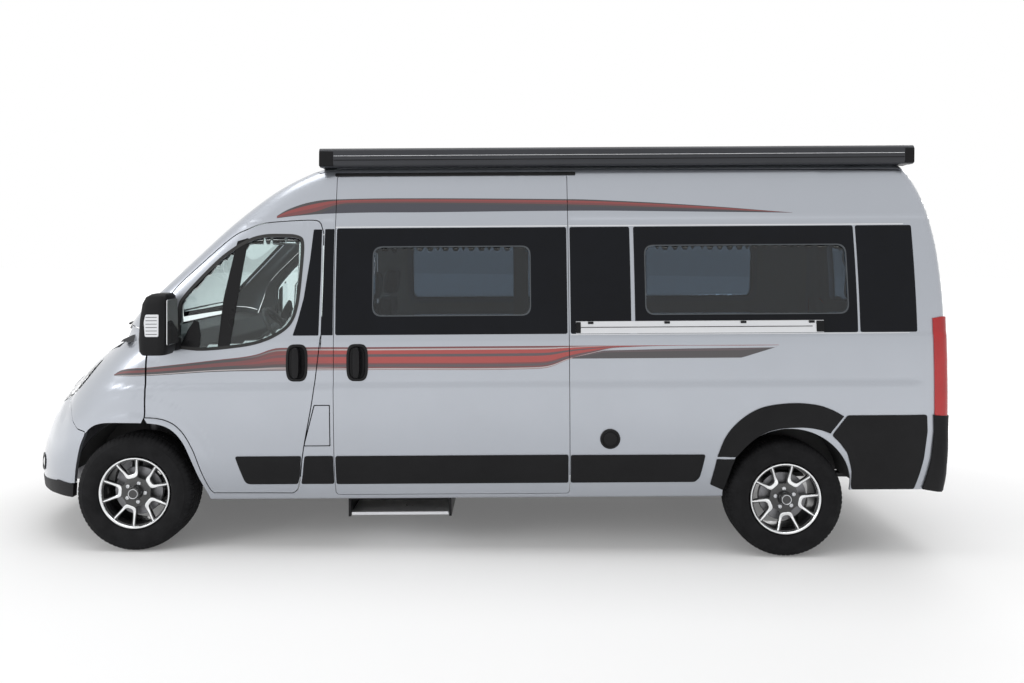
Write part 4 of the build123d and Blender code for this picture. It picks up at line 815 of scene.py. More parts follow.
ARCH = ahead_of(spline([(-428, 290), (-420, 340), (-405, 430), (-386, 540), (-352, 660), (-300, 745), (-225, 788),
                        (-107, 803), (85, 802), (189, 788), (260, 750), (318, 679), (365, 572), (406, 454),
                        (440, 362), (458, 307)]))
DOOR_FRONT = ahead_of(spline([(90, 838), (135, 836), (194, 826), (241, 808), (276, 786), (311, 752), (346, 703),
                              (381, 634), (404, 569), (427, 492), (451, 421), (468, 376), (486, 354)], 3))
DOOR_REAR = ahead_of(spline([(975, 350), (1002, 372), (1016, 410), (1029, 465), (1054, 642), (1102, 889),
                             (1127, 1054), (1158, 1314), (1163, 1348), (1168, 1640), (1168, 1960)], 3))
DOOR_TOP = ahead_of(spline([(1150, 2020), (1120, 2040), (1000, 2040), (807, 2025), (690, 1985), (597, 1935),
                            (420, 1778), (241, 1598), (160, 1420), (112, 1290), (97, 1235)], 4))
DOOR = np.vstack([DOOR_FRONT, DOOR_REAR, DOOR_TOP])
DOOR_GLASS = ahead_of(spline([(300, 1262), (430, 1250), (600, 1262), (763, 1287), (893, 1339), (976, 1409),
                              (1015, 1520), (1034, 1700), (1042, 1890), (1010, 1940), (900, 1950), (790, 1945),
                              (690, 1912), (559, 1826), (430, 1700), (320, 1575), (288, 1500), (284, 1300),
                              (300, 1262)], 5))[:-1]
SLIDE_DOOR = rectangle((FRONT + 1245.0, FRONT + 2694.0), (335.0, 2330.0), 25.0)
BAND = (1331.0, 1991.0)  # height of the dark window band
OPEN_Z = (1444.0, 1877.0)  # height of its see-through parts
PANES = {"lounge": (-798.0, 635.0), "blank": (655.0, 1029.0), "rear_room": (1053.0, 2426.0),
         "quarter": (2440.0, 2790.0)}
OPENINGS = {"lounge": (-571.0, 411.0), "rear_room": (1117.0, 2375.0)}
FLAP = ahead_of([(1123, 907), (1223, 907), (1223, 650), (1055, 650)])
SCREEN_EDGE = ((848.0, 1374.0), (800.0, 1600.0), (752.0, 1850.0), (702.0, 2080.0))
LAMP_LOW = [(-645, 866), (-560, 905), (-480, 955), (-425, 1005), (-385, 1050), (-345, 1105), (-304, 1162)]
LAMP_TOP = [(-300, 774), (-360, 737), (-430, 691), (-500, 642), (-560, 602), (-606, 572)]
SIDES = (("left", -1), ("right", 1))
GAP = 3.2  # half of a shut line


def lamp_outline(side, grow=0.0):
    """Headlamp: swept lower edge seen from the side, upper edge from above, inner end from ahead."""
    low = ahead_of(spline(LAMP_LOW, 4)) + [grow * 0.7, -grow * 0.7]
    top = ahead_of(spline(LAMP_TOP, 4)) + [grow * 0.3, -grow]
    return one_side([("side", low), ("above", top), ("nose", [(580 - grow, 925), (592 - grow, 886 - grow)])], side)


def opening(name, side, grow=0.0):
    """See-through part of a side window."""
    return on_side(rectangle(OPENINGS[name], OPEN_Z), side, 60.0, grow)


# ---------------------------------------------------------------- nose
BONNET_SIDE = ahead_of([(-350, 655), (-420, 650), (-500, 618), (-560, 578), (-610, 543), (-660, 508), (-710, 460)])
bonnet_edge = [("above", ahead_of([(-338, 0.1), (-341, 300), (-350, 650)])), ("above", BONNET_SIDE),
               ("above", ahead_of([(-745, 400), (-772, 250), (-784, 0.1)]))]
skin("bonnet_panel", both_sides(bonnet_edge), [], paint, "bonnet", replaces=["bonnet"], depth=12.0)

GRILLE_TOP = [(345, 352), (478, 770), (462, 800), (300, 812), (0.1, 816)]
bumper_edge = [
    ("nose", [(352, 338), (480, 345), (700, 368), (850, 388)]),
    ("side", ARCH[(ARCH[:, 1] > 395) & (ARCH[:, 0] < FRONT - 325)]),
    ("side", ahead_of([(-322, 731), (-381, 744), (-428, 782), (-463, 836), (-506, 880), (-566, 898), (-645, 858)])),
    ("nose", [(584, 882), (571, 925)]),
    ("above", ahead_of([(-612, 562), (-665, 517), (-717, 467), (-753, 405), (-781, 250), (-792, 0.1)])),
]
skin("front_bumper_skin", both_sides(bumper_edge, [("nose", -1, GRILLE_TOP), ("nose", 1, GRILLE_TOP[::-1])]), [],
     paint, replaces=["front_bumper"], depth=20.0)

WING_TOP = [("side", ahead_of(LAMP_LOW[1:]) + [6, -6]), ("above", ahead_of(LAMP_TOP[:4]) + [2, 8]),
            ("above", (BONNET_SIDE[1:3] + [0, 8.0])[::-1]),
            ("above", ahead_of([(-352, 664), (-330, 674), (-250, 760), (-160, 850)]))]
PILLAR_FOOT = ahead_of([(-60, 1392), (30, 1378), (112, 1352)])
TAIL_DOOR_Y = 797.0
TAIL_DOOR_Z = (545.0, 2318.0)
GUTTER = seen("side", [(FRONT + 960, 2319), (FRONT + 1130, 2346), (TAIL - 231, 2346)])[:, :2]


def wing_loop(side):
    """Front wing: over the arch, along bumper, lamp and bonnet, past the screen's foot and down the door's edge."""
    arch = ARCH[(ARCH[:, 0] > FRONT - 316) & (ARCH[:, 0] < FRONT + 84)]
    bumper = ahead_of([(-322, 739), (-381, 751), (-428, 789), (-463, 843), (-505, 884)])
    return one_side([("side", arch[::-1]), ("side", bumper)] + WING_TOP + [("side", PILLAR_FOOT - [0, 6]), (
        "side", ahead_of([(98, 1290), (85, 1225), (80.5, 838)]))], side)


def side_loop(side):
    """Body side: pillar and header, round the cab door, sill and rear arch, tail corner and gutter."""
    door = grown(DOOR, 2 * GAP)
    rear_x, rear_z, radius = REAR_ARCH
    return one_side([
        ("side", PILLAR_FOOT[2:]), ("side", door[:-3][::-1]), ("side", ARCH[ARCH[:, 0] > FRONT + 90]),
        ("side", [(FRONT + 475, 306), (rear_x - radius + 3, 306)]),
        ("side", arc(rear_x, rear_z, radius, 186, -1, 60)),
        ("side", [(rear_x + radius + 2, 346), (TAIL - 60, 346)]),
        ("behind", [(880, 350), (TAIL_DOOR_Y + 6.5, 350), (TAIL_DOOR_Y + 6.5, 2322)]), ("behind", [(812, 2340)]),
        ("above", (GUTTER + [0, GAP])[::-1]), ("ahead", [(y + 9, z) for y, z in SCREEN_EDGE[::-1]]),
        ("side", PILLAR_FOOT[:2])], side)


for label, side in SIDES:
    left = side < 0
    skin(f"wing_{label}", wing_loop(side), [], paint, replaces=["wings"] * left, depth=3.0, turn_in=1.0, step=22.0)
    cuts = [opening("rear_room", side, 3.0)]
    if left:
        cuts += [on_side(SLIDE_DOOR, side, grow=4.0), on_side(FLAP, side, 6.0)]
    else:
        cuts.append(opening("lounge", side, 3.0))
    skin(f"side_{label}", side_loop(side), cuts, paint, step=17.0,
         replaces=[f"side_panel_{label}"] + ["cab_frame", "tail_frame"] * left)
    # cab door: outer skin, inner card, glass
    body = f"cab_door_{label}"
    skin(f"{body}_skin", on_side(DOOR, side), [on_side(grown(DOOR_GLASS, -10.0), side)], paint, body,
         replaces=[body], depth=6.0, step=22.0)
    skin(f"{body}_card", grown(DOOR, -9.0), [grown(DOOR_GLASS, -4.0)], cab_trim, body, view="side", hand=side,
         lift=-40.0, depth=-6.0, step=30.0)
    skin(f"{body}_pane", on_side(grown(DOOR_GLASS, -3.0), side), [], clear_window, body,
         replaces=[f"cab_glass_{label}"], lift=-3.0, depth=0.0, step=20.0)
    skin(f"{body}_seal", on_side(grown(DOOR_GLASS, 9.0), side), [on_side(grown(DOOR_GLASS, -11.0), side)], rubber,
         body, lift=2.2, depth=7.0, step=30.0)

skin("sliding_door_skin", on_side(SLIDE_DOOR, -1), [opening("lounge", -1, 3.0)], paint, replaces=["sliding_door"],
     depth=30.0, step=24.0)
skin("fuel_flap_skin", on_side(FLAP, -1, 6.0, -6.5), [], paint, "fuel_flap", replaces=["fuel_flap"], depth=2.5,
     turn_in=0.8, step=16.0)
roof_edge = [("ahead", [(0.1, 2118), (400, 2110), (702, 2087)]), ("above", GUTTER - [0, GAP]),
             ("behind", [(812, 2346), (790, 2326), (0.1, 2326)])]
skin("roof_skin", both_sides(roof_edge), [], paint, replaces=["roof"], depth=18.0, step=28.0)

screen = both_sides([("ahead", [(0.1, 1352), (500, 1358), (800, 1366), (843, 1376)]), ("ahead", SCREEN_EDGE[1:]),
                     ("ahead", [(680, 2086), (400, 2103), (0.1, 2111)])])
skin("windscreen_pane", screen, [], clear_window, replaces=["windscreen"], lift=-1.0, depth=0.0, step=24.0)
skin("windscreen_frit", grown(screen, 2.0), [grown(screen, -42.0)], frit, lift=-7.0, depth=2.0, step=40.0)
scuttle_edge = [("above", ahead_of([(-292, 0.1), (-295, 300), (-304, 640), (-296, 662), (-230, 746), (-146, 846)])),
                ("ahead", [(845, 1368), (800, 1358), (500, 1350), (0.1, 1344)])]
skin("scuttle_grille", both_sides(scuttle_edge), [], black_plastic, replaces=["scuttle"], lift=-30.0, depth=8.0,
     step=25.0)


# ---------------------------------------------------------------- side windows, lamps and tail doors
def leaf(side, y, z, radius):
    """Rounded rectangle of a tail door, seen from behind."""
    return rectangle((side * y[0], side * y[1]), z, radius)


for label, side in SIDES:
    left = side < 0
    for name, span in PANES.items():
        cuts = [opening(name, side)] if name in OPENINGS else []
        skin(f"window_{name}_{label}", on_side(rectangle(span, BAND), side, 14.0), cuts, frit, lift=1.6,
             replaces=["side_windows"] * (left and name == "lounge"), depth=6.0 if cuts else 5.0)
        if cuts:
            skin(f"pane_{name}_{label}", opening(name, side, 6.0), [], dark_window, lift=-2.0, depth=0.0, step=20.0)
            skin(f"window_frame_{name}_{label}", opening(name, side, 1.0), [opening(name, side, -7.0)], window_edge,
                 lift=1.2, depth=9.0, step=20.0)
    skin(f"headlamp_lens_{label}", lamp_outline(side), [], clear_lens, replaces=["headlamps"] * left, lift=0.5,
         depth=0.0, step=22.0)
    tail_lamp = [("side", [(TAIL - 98.0, 1411), (TAIL - 98.0, 820)]), ("behind", [(846, 820), (846, 1365)])]
    skin(f"tail_lamp_lens_{label}", one_side(tail_lamp, side), [], red_lens, replaces=["tail_lamps"] * left,
         lift=9.0, depth=20.0, step=16.0)
    body = f"tail_door_{label}"
    hole = leaf(side, (140, 678), (1432, 1918), 40.0)
    skin(f"{body}_skin", leaf(side, (4, TAIL_DOOR_Y), TAIL_DOOR_Z, 20.0), [hole], paint, body, replaces=[body],
         view="behind", depth=44.0, lift=1.0)
    skin(f"{body}_card", leaf(side, (12, 787), (553, 2310), 20.0), [hole], lining, body, view="behind", lift=-44.0,
         depth=-5.0, step=60.0)
    skin(f"{body}_frit", leaf(side, (128, 690), (1420, 1930), 40.0), [leaf(side, (152, 666), (1444, 1906), 34.0)],
         frit, body, view="behind", lift=3.0, depth=10.0, replaces=[f"tail_glass_{label}"])
    skin(f"{body}_pane", leaf(side, (146, 672), (1438, 1912), 34.0), [], dark_window, body, view="behind", depth=0.0,
         step=24.0)

PANE = 0.004  # thickness of the glass, in metres
for name, sheet in made.items():
    if ("pane" in name or "lens" in name) and not name.startswith("tail_lamp"):
        own_normals = sheet.data.attributes.get("custom_normal")
        if own_normals:
            sheet.data.attributes.remove(own_normals)
        thick = sheet.modifiers.new("sheet", "SOLIDIFY")
        thick.thickness = PANE
        thick.offset = -1.0


# ---------------------------------------------------------------- round and ringed pieces
def quad_rows(rows, count, closed=False):
    """Quads that join rows, each a closed ring of count points; the last row meets the first if closed."""
    k, i = np.meshgrid(np.arange(rows if closed else rows - 1), np.arange(count), indexing="ij")
    here, after, j = k * count, (k + 1) % rows * count, (i + 1) % count
    return np.stack([here + i, here + j, after + j, after + i], axis=2).reshape(-1, 4)


TURNED = [0, 3, 2, 1]  # order of a quad's corners that turns its face over


def superellipse(half_a, half_b, power=2.0, count=48):
    """Points of |a|^power + |b|^power = 1, from an ellipse at 2 towards a rectangle as the power grows."""
    c, s = np.cos(around(count)), np.sin(around(count))
    return np.stack([half_a * np.sign(c) * np.abs(c) ** (2 / power), half_b * np.sign(s) * np.abs(s) ** (2 / power)],
                    axis=1)


def rings(name, middle, shape, rows, material, body="body", view="side", side=1, **more):
    """Raised or sunk fitting: one outline about a middle, repeated at other sizes and heights.

    Row k is the outline times its scale plus the middle, set out from the skin by its lift; neighbouring
    rows are joined by quads and the last is closed by a fan. Rows are (scale a, scale b, lift).
    """
    count = len(shape)
    layers = []
    for scale_a, scale_b, lift in rows:
        p = seen(view, np.array(middle) + shape * [scale_a, scale_b], side)
        layers.append(p + skin_normal(p) * lift)
    rim = layers[-1]
    tip = rim.mean(axis=0)
    start = count * (len(rows) - 1)
    faces = quad_rows(len(rows), count).tolist()
    faces += [[start + i, start + (i + 1) % count, count * len(rows)] for i in range(count)]
    rise = np.cross(np.roll(rim, -1, axis=0) - rim, tip - rim)
    if np.sum(rise @ skin_normal(layers[0].mean(axis=0)[None])[0]) < 0:
        faces = [f[::-1] for f in faces]
    return crease(add_mesh(name, np.vstack(layers + [tip]), faces, material, body, **more))


def lathe(name, profile, centre, material, body, side=1, count=64, **more):
    """Surface of revolution about a line along the van's width: (radius, outboard distance) turned round it."""
    r, out = np.array(profile, float).T[:, :, None]
    t = around(count)
    points = np.stack([centre[0] + r * np.cos(t), side * (centre[1] + out + 0 * t), centre[2] + r * np.sin(t)],
                      axis=2)
    quads = quad_rows(len(profile), count)
    if side < 0:
        quads = quads[:, ::-1]
    return crease(add_mesh(name, points.reshape(-1, 3), quads, material, body, level=True, **more))


def tube(name, path, radius, material, body="body", count=12, closed=False, guide=None, **more):
    """Round bar: circles of the radius square to a path, joined along it, capped or joined end to end."""
    p = np.array(path, float)
    if closed:
        ahead = np.roll(p, -1, axis=0) - np.roll(p, 1, axis=0)
    else:
        ahead = np.vstack([p[1:], p[-1:] * 2 - p[-2:-1]]) - np.vstack([p[:1] * 2 - p[1:2], p[:-1]])
    ahead = unit(ahead)
    if guide is None:
        guide = [0.0, 0.0, 1.0] if abs(ahead[0, 2]) < 0.9 else [1.0, 0.0, 0.0]
    a = unit(np.cross(ahead, guide))
    b = np.cross(ahead, a)
    t = around(count)[None, :, None]
    points = (p[:, None] + radius * (np.cos(t) * a[:, None] + np.sin(t) * b[:, None])).reshape(-1, 3)
    faces = quad_rows(len(p), count, closed)[:, TURNED].tolist()
    if not closed:
        faces += [list(range(count)), list(range(len(points) - 1, len(points) - count - 1, -1))]
    return crease(add_mesh(name, points, faces, material, body, **more), 50)


def block(name, low, high, bevel, material, body="body", **more):
    """Moulded block: a box with rounded edges."""
    (x0, y0, z0), (x1, y1, z1) = low, high
    corners = [(x, y, z) for z in (z0, z1) for x, y in ((x0, y0), (x1, y0), (x1, y1), (x0, y1))]
    faces = [(3, 2, 1, 0), (4, 5, 6, 7), (0, 1, 5, 4), (1, 2, 6, 5), (2, 3, 7, 6), (3, 0, 4, 7)]
    soften(add_mesh(name, corners, faces, material, body, **more), bevel, 3)


def stack(name, rows, material, body, power, count=48, **more):
    """Upright moulding: superellipse rings (z, x0, x1, y0, y1) joined by quads, with a fan at each end."""
    layers = []
    for z, x0, x1, y0, y1 in rows:
        ring = superellipse((x1 - x0) / 2, (y1 - y0) / 2, power, count)
        layers.append(np.column_stack([ring + [(x0 + x1) / 2, (y0 + y1) / 2], np.full(count, z)]))
    last = (len(rows) - 1) * count
    faces = quad_rows(len(rows), count).tolist()
    faces += [[(k + 1) % count, k, last + count] for k in range(count)]
    faces += [[last + k, last + (k + 1) % count, last + count + 1] for k in range(count)]
    points = np.vstack(layers + [layers[0].mean(axis=0), layers[-1].mean(axis=0)])
    crease(add_mesh(name, points, faces, material, body, **more), 40)


def plate(name, outline, axis, low, high, bevel, material, body="body", **more):
    """Flat plate: a closed outline in the plane square to an axis, between two distances along it."""
    outline = np.array(outline, float)
    count = len(outline)
    points = np.zeros((2 * count, 3))
    points[:, [k for k in range(3) if k != axis]] = np.vstack([outline, outline])
    points[:count, axis], points[count:, axis] = low, high
    i = np.arange(count)
    area = np.sum(outline[:, 0] * np.roll(outline[:, 1], -1) - np.roll(outline[:, 0], -1) * outline[:, 1])
    faces = quad_rows(2, count).tolist() + [i[::-1].tolist(), (i + count).tolist()]
    if (area < 0) != (axis == 1):
        faces = [f[::-1] for f in faces]
    soften(add_mesh(name, points, faces, material, body, smooth=False, **more), bevel, 2)


# ---------------------------------------------------------------- wheels
WHEEL_U = {"front": 106.0, "rear": 132.0}  # direction of one bright spoke pair, seen from the left
SPOKES = 5
PITCH = 360.0 / SPOKES
FACE_R = 208.0  # edge of the spoked face
BOLT_R = 60.0
TREAD_R = 352.0  # the tread starts at this radius, and the sipes and shoulder blocks near it
SIPES_R = 356.0
BLOCKS_R = 330.0
RIBS = ((250.0, 3.0), (318.0, 2.5))  # raised rings of the tyre's wall: radius, half width
GROOVES = (-52.0, -17.0, 17.0, 52.0)


def face_height(r):
    """Outboard distance of the wheel's front face: flat at the hub, dished, then rising to the rim."""
    return 74.0 - 6.0 * ramp(r, 60.0, 120.0) + 14.0 * ramp(r, 120.0, 206.0)


def turned(path, turn):
    """Points given by radius and angle, turned on by an angle in degrees."""
    return [(r * math.cos(math.radians(turn + a)), r * math.sin(math.radians(turn + a))) for r, a in path]


def sector(turn, inner, outer, inner_angle, outer_angle):
    """Four-cornered opening between two radii, its corners rounded, in the plane of the wheel."""
    rim = [(outer, outer_angle * part) for part in (-1, -0.5, 0, 0.5, 1)]
    return rounded(turned([(inner, -inner_angle)] + rim + [(inner, inner_angle)], turn), 9.0)


# Bright edge of a spoke pair, one half: radius, angle, half width
BRIGHT_HALF = [(206, 18.2, 4.2), (170, 17.6, 5.2), (140, 16.6, 6.6), (120, 15.8, 8.6), (107, 13.0, 11.0),
               (101, 7.0, 10.5)]
BRIGHT = BRIGHT_HALF + [(100, 0.0, 10.0)] + [(r, -a, w) for r, a, w in BRIGHT_HALF[::-1]]
BRIGHT_SECTION = ((-1.0, -3.0), (-1.0, 1.6), (-0.86, 2.4), (0.86, 2.4), (1.0, 1.6), (1.0, -3.0))
LATHED = (
    ("rim_ring", [(205, 86), (208, 94), (212, 97), (218, 97), (221.5, 93), (221.5, 84)], bright_alloy, 120),
    ("rim_barrel", [(207, 86), (198, 72), (192, 40), (196, -40), (203, -92), (221, -96), (221, -84), (205, -80),
                    (201, 70), (207, 84)], black_alloy, 96),
    ("hub_cap", [(46, 64), (44, 84), (40, 96), (37, 108), (33, 112), (12, 113), (0.2, 113)], black_alloy, 64),
    ("cap_line", [(30, 112.2), (30, 113.4), (27, 113.8), (26, 112.6)], silver_metal, 48),
    ("brake_disc", [(60, 30), (148, 30), (150, 28), (150, 6), (148, 4), (60, 4)], cast_metal, 64),
)
BOLT = [(13, 70), (13, 78), (11, 81), (6.5, 82), (6, 78), (0.2, 78)]
TYRE_HALF = spline([(222, 78), (232, 96), (262, 110), (300, 112), (326, 106), (344, 97), (354, 84), (358.5, 66),
                    (359.5, 40), (360, 0)], 5)
TYRE = np.vstack([TYRE_HALF, (TYRE_HALF[:-1] * [1, -1])[::-1]])


def wheel(end, label, side, x, y):
    """One wheel: tyre, rim barrel, spoked face with its bright edges, bolts, cap and brake disc."""
    body = f"wheel_{end}_{label}"
    name = f"{end}_{label}"
    start = WHEEL_U[end]
    turns = [start + PITCH * k for k in range(SPOKES)]

    def on_face(q, up=0.0):
        """Points of the wheel's plane on its front face, raised by up."""
        height = face_height(np.hypot(q[:, 0], q[:, 1])) + up
        return np.stack([x + q[:, 0], side * (y + height), AXLE_Z + q[:, 1]], axis=1)

    pockets = [sector(t, 117.0, 200.0, 12.0, 14.5) for t in turns]
    gaps = [sector(t + PITCH / 2, 92.0, 200.0, 16.0, 15.0) for t in turns]
    t = around(96)
    xz, faces = mesh_region(np.stack([FACE_R * np.cos(t), FACE_R * np.sin(t)], axis=1), pockets + gaps, 12.0)
    r = np.hypot(xz[:, 0], xz[:, 1])
    slope = (face_height(r + 1) - face_height(r - 1)) / 2 / np.maximum(r, 1)
    normals = unit(np.stack([-slope * xz[:, 0], np.full(len(r), float(side)), -slope * xz[:, 1]], axis=1))
    points, faces, normals = shell_mesh(on_face(xz), faces, normals, 2.0, 20.0)
    add_mesh(f"spokes_{name}", points, faces, black_alloy, body, level=True, normals=normals,
             replaces=[f"rim_{name}"])
    # bright edges: a band round each pocket, open at the rim
    wide = spline([(w,) for _, _, w in BRIGHT], 5)[:, 0]
    verts, quads = [], []
    for k, turn in enumerate(turns):
        p = spline(turned([(r, a) for r, a, _ in BRIGHT], turn), 5)
        way = unit(np.gradient(p, axis=0))
        off = np.stack([-way[:, 1], way[:, 0]], axis=1)
        grid = np.stack([on_face(p + off * (across * wide)[:, None], up) for across, up in BRIGHT_SECTION], axis=1)
        n, m = grid.shape[:2]
        i, j = np.meshgrid(np.arange(n - 1), np.arange(m - 1), indexing="ij")
        a = k * n * m + i * m + j
        verts.append(grid.reshape(-1, 3))
        quads.append(np.stack([a, a + m, a + m + 1, a + 1], axis=2).reshape(-1, 4))
    verts, quads = np.vstack(verts), np.vstack(quads)
    top = verts[quads[2]]
    if np.cross(top[2] - top[0], top[3] - top[1])[1] * side < 0:
        quads = quads[:, ::-1]
    crease(add_mesh(f"bright_edges_{name}", verts, quads, bright_alloy, body, level=True))
    for part, profile, material, count in LATHED:
        lathe(f"{part}_{name}", profile, (x, y, AXLE_Z), material, body, side, count, slot="alloy")
    bolts = turned([(BOLT_R, PITCH / 2 + PITCH * k) for k in range(SPOKES)], start)
    for k, (bolt_x, bolt_z) in enumerate(bolts):
        lathe(f"bolt_{name}_{k}", BOLT, (x + bolt_x, y, AXLE_Z + bolt_z), silver_metal, body, side, 12, slot="alloy")
    # tyre: its section turned round, with grooves, shoulder blocks, sipes and ribs cut by the angle
    t = around(360)
    radius = TYRE[:, :1] + 0 * t
    across = TYRE[:, 1:] + 0 * t
    tread = radius > TREAD_R
    for groove in GROOVES:
        radius = radius - 7.0 * tread * (np.abs(across - groove) < 4.6)
    blocks = (np.sin(t * 74 + 0.35 * np.abs(across) / 10) > 0.72) & (np.abs(across) > 56) & (radius > BLOCKS_R)
    radius = radius - 4.0 * blocks
    sipes = (np.sin(t * 96 - 0.25 * across / 10) > 0.8) & (np.abs(across) < 50) & (radius > SIPES_R)
    radius = radius - 2.5 * sipes
    ribs = sum(np.abs(TYRE[:, :1] - rib) < half for rib, half in RIBS)
    across = across + np.sign(across) * 1.6 * ribs
    points = np.stack([x + radius * np.cos(t), side * (y + across), AXLE_Z + radius * np.sin(t)], axis=2)
    quads = quad_rows(len(TYRE), len(t), True)[:, TURNED]
    if side < 0:
        quads = quads[:, ::-1]
    crease(add_mesh(f"tread_{name}", points.reshape(-1, 3), quads, tyre_rubber, body, level=True,
                    replaces=[f"tyre_{name}"]), 30)


for end, x, y in (("front", FRONT, 905.0), ("rear", REAR, 895.0)):
    for label, side in SIDES:
        wheel(end, label, side, x, y)

# ---------------------------------------------------------------- black trims of the sides
CLADDING = {
    "door": [(634, 591), (1041, 591), (1030, 470), (1013, 412), (716, 412), (694, 420), (684, 436)],
    "pillar": [(1062, 591), (1238, 591), (1238, 412), (1034, 412), (1048, 480)],
    "middle": [(1252, 590), (2687, 590), (2687, 410), (1252, 410)],
    "rear": [(2701, 588), (3530, 586), (3512, 500), (3498, 440), (3470, 410), (2701, 410)],
    "arch_low": [(3600, 556), (3708, 556), (3692, 512), (3672, 440), (3655, 370), (3645, 354), (3566, 392)],
    "quarter": [(4401, 823), (4888, 823), (4892, 719), (4874, 560), (4832, 352), (4445, 352), (4437, 402), (4432, 470),
                (4400, 590), (4352, 656), (4306, 700)],
}
ARCH_TRIM = np.vstack([spline([(3604, 572), (3649, 685), (3713, 769), (3809, 843), (3916, 884), (4075, 900),
                               (4213, 888), (4309, 856), (4377, 818)], 5),
                       spline([(4294, 714), (4223, 738), (4117, 752), (3968, 742), (3862, 705), (3787, 648),
                               (3739, 598), (3716, 572)], 4)])
CORNER = [("side", [(TAIL - 108, 822), (TAIL - 104, 720), (TAIL - 118, 560), (TAIL - 152, 356)]),
          ("behind", [(905, 352), (822, 356), (822, 640), (834, 800), (870, 818)])]
for label, side in SIDES:
    door = f"cab_door_{label}"
    for name, points in CLADDING.items():
        skin(f"cladding_{name}_{label}", on_side(ahead_of(points), side, 14.0 if name != "arch_low" else 6.0), [],
             black_plastic, door if name == "door" else "body", lift=5.0, depth=7.0, turn_in=1.8, step=30.0)
    skin(f"arch_trim_{label}", on_side(ahead_of(ARCH_TRIM), side), [], black_plastic, lift=6.5, depth=22.0,
         turn_in=2.0, step=24.0)
    skin(f"bumper_corner_{label}", one_side(CORNER, side), [], black_plastic, lift=13.0, depth=22.0, turn_in=6.0,
         step=24.0, replaces=["rear_bumper"] * (side < 0))
    # handles: a cup, its dark floor and an upright grip
    handles = [("door", FRONT + 1018.0, door)] + [("slide", -661.0, "body")] * (side < 0)
    for name, x, body in handles:
        rings(f"handle_cup_{name}_{label}", (x, 1164.0), superellipse(66, 114, 3.6, 56),
              [(1, 1, -3), (1, 1, 4), (0.94, 0.965, 6.5), (0.78, 0.87, 6.5), (0.72, 0.84, 3.0), (0.66, 0.8, 0.6)],
              satin_black, body, side=side)
        rings(f"handle_grip_{name}_{label}", (x - 4, 1164.0), superellipse(24, 94, 3.2, 40),
              [(1, 1, 1), (1.0, 1.0, 20), (0.86, 0.965, 27), (0.4, 0.85, 29)], satin_black, body, side=side)
    rings(f"door_lock_{label}", (FRONT + 1018.0, 1084.0), superellipse(7, 7, 2, 20),
          [(1, 1, 4), (1, 1, 9), (0.8, 0.8, 10)], silver_metal, door, side=side)
rings("gas_flap", (892.0, 686.0), superellipse(62, 62, 2, 64),
      [(1, 1, -2), (1, 1, 5), (0.93, 0.93, 9), (0.8, 0.8, 9.5), (0.76, 0.76, 6), (0.7, 0.7, 6), (0.66, 0.66, 9),
       (0.3, 0.3, 10.5)], satin_black, side=-1)
skin("bumper_step", rectangle((-815, 815), (352, 533), 22.0), [], black_plastic, view="behind", lift=22.0,
     depth=60.0, turn_in=6.0, step=30.0)
# black film round the cab door window, and the divider of its quarter light
FILM = [(1108, 1986), (1160, 1986), (1160, 1700), (1150, 1330), (990, 1330), (1020, 1420), (1056, 1560), (1090, 1800)]
PILLAR_FILM = [(1179, 1988), (1238, 1988), (1238, 1331), (1167, 1331), (1174, 1600)]
DIVIDER = [(634, 1916), (702, 1936), (648, 1560), (604, 1258), (530, 1258), (560, 1560)]
for label, side in SIDES:
    door = f"cab_door_{label}"
    for name, points, radius, material, body, lift, depth, turn_in in (
            ("door_film", FILM, 8.0, frit, door, 1.0, 1.6, 0.4),
            ("pillar_film", PILLAR_FILM, 5.0, frit, "body", 1.0, 1.6, 0.4),
            ("quarter_divider", DIVIDER, 4.0, satin_black, door, 0.6, 4.0, 1.0)):
        skin(f"{name}_{label}", on_side(ahead_of(points), side, radius), [], material, body, lift=lift, depth=depth,
             turn_in=turn_in, step=30.0)

# ---------------------------------------------------------------- nose fittings
field = np.array([(345, 352), (478, 770), (462, 800), (300, 812), (-300, 812), (-462, 800), (-478, 770),
                  (-345, 352)], float)
skin("grille_field", grown(field, 6.0), [], satin_black, view="nose", lift=-26.0, depth=8.0, replaces=["grille"])
for k, z in enumerate((372, 408, 590, 632, 674, 716, 758)):
    half = np.interp(z, [345, 770], [352, 478]) - 4
    skin(f"grille_bar_{k}", rectangle((-half, half), (z - 6, z + 6), 4.0), [], black_plastic, view="nose", lift=-5.0,
         depth=24.0, turn_in=3.0, step=24.0)
skin("grille_rim", grown(field, -3.0), [grown(field, -22.0)], satin_black, view="nose", depth=26.0, turn_in=3.0,
     step=24.0)
for k, y in enumerate((-640, 640)):
    rings(f"fog_lamp_{k}", (y, 470), superellipse(66, 46, 2.6, 48),
          [(1.1, 1.12, 0), (1.1, 1.12, 5), (1, 1, 6), (0.9, 0.88, -6), (0.82, 0.8, -10)], satin_black, view="nose")
    rings(f"fog_lens_{k}", (y, 470), superellipse(38, 34, 2.0, 40),
          [(1, 1, -9), (1, 1, -3), (0.7, 0.7, 1), (0.3, 0.3, 3)], chrome, view="nose", slot="headlamp_lens")
skin("front_plate_frame", rectangle((-274, 274), (444, 568), 10.0), [], satin_black, view="nose", lift=-2.0,
     turn_in=2.0)
skin("front_plate", rectangle((-260, 260), (452, 560), 8.0), [], plate_white, view="nose", lift=1.0, depth=3.0,
     turn_in=1.0)
LIP = [("nose", [(2.0, 307), (500, 308), (830, 314)]),
       ("side", ahead_of([(-520, 312), (-431, 312), (-414, 398), (-480, 402), (-560, 408)])),
       ("nose", [(850, 402), (700, 380), (480, 356), (345, 349), (2.0, 349)])]
for label, side in SIDES:
    skin(f"bumper_lip_{label}", one_side(LIP, side), [], black_plastic, lift=5.0, depth=30.0, turn_in=0.3, step=24.0)
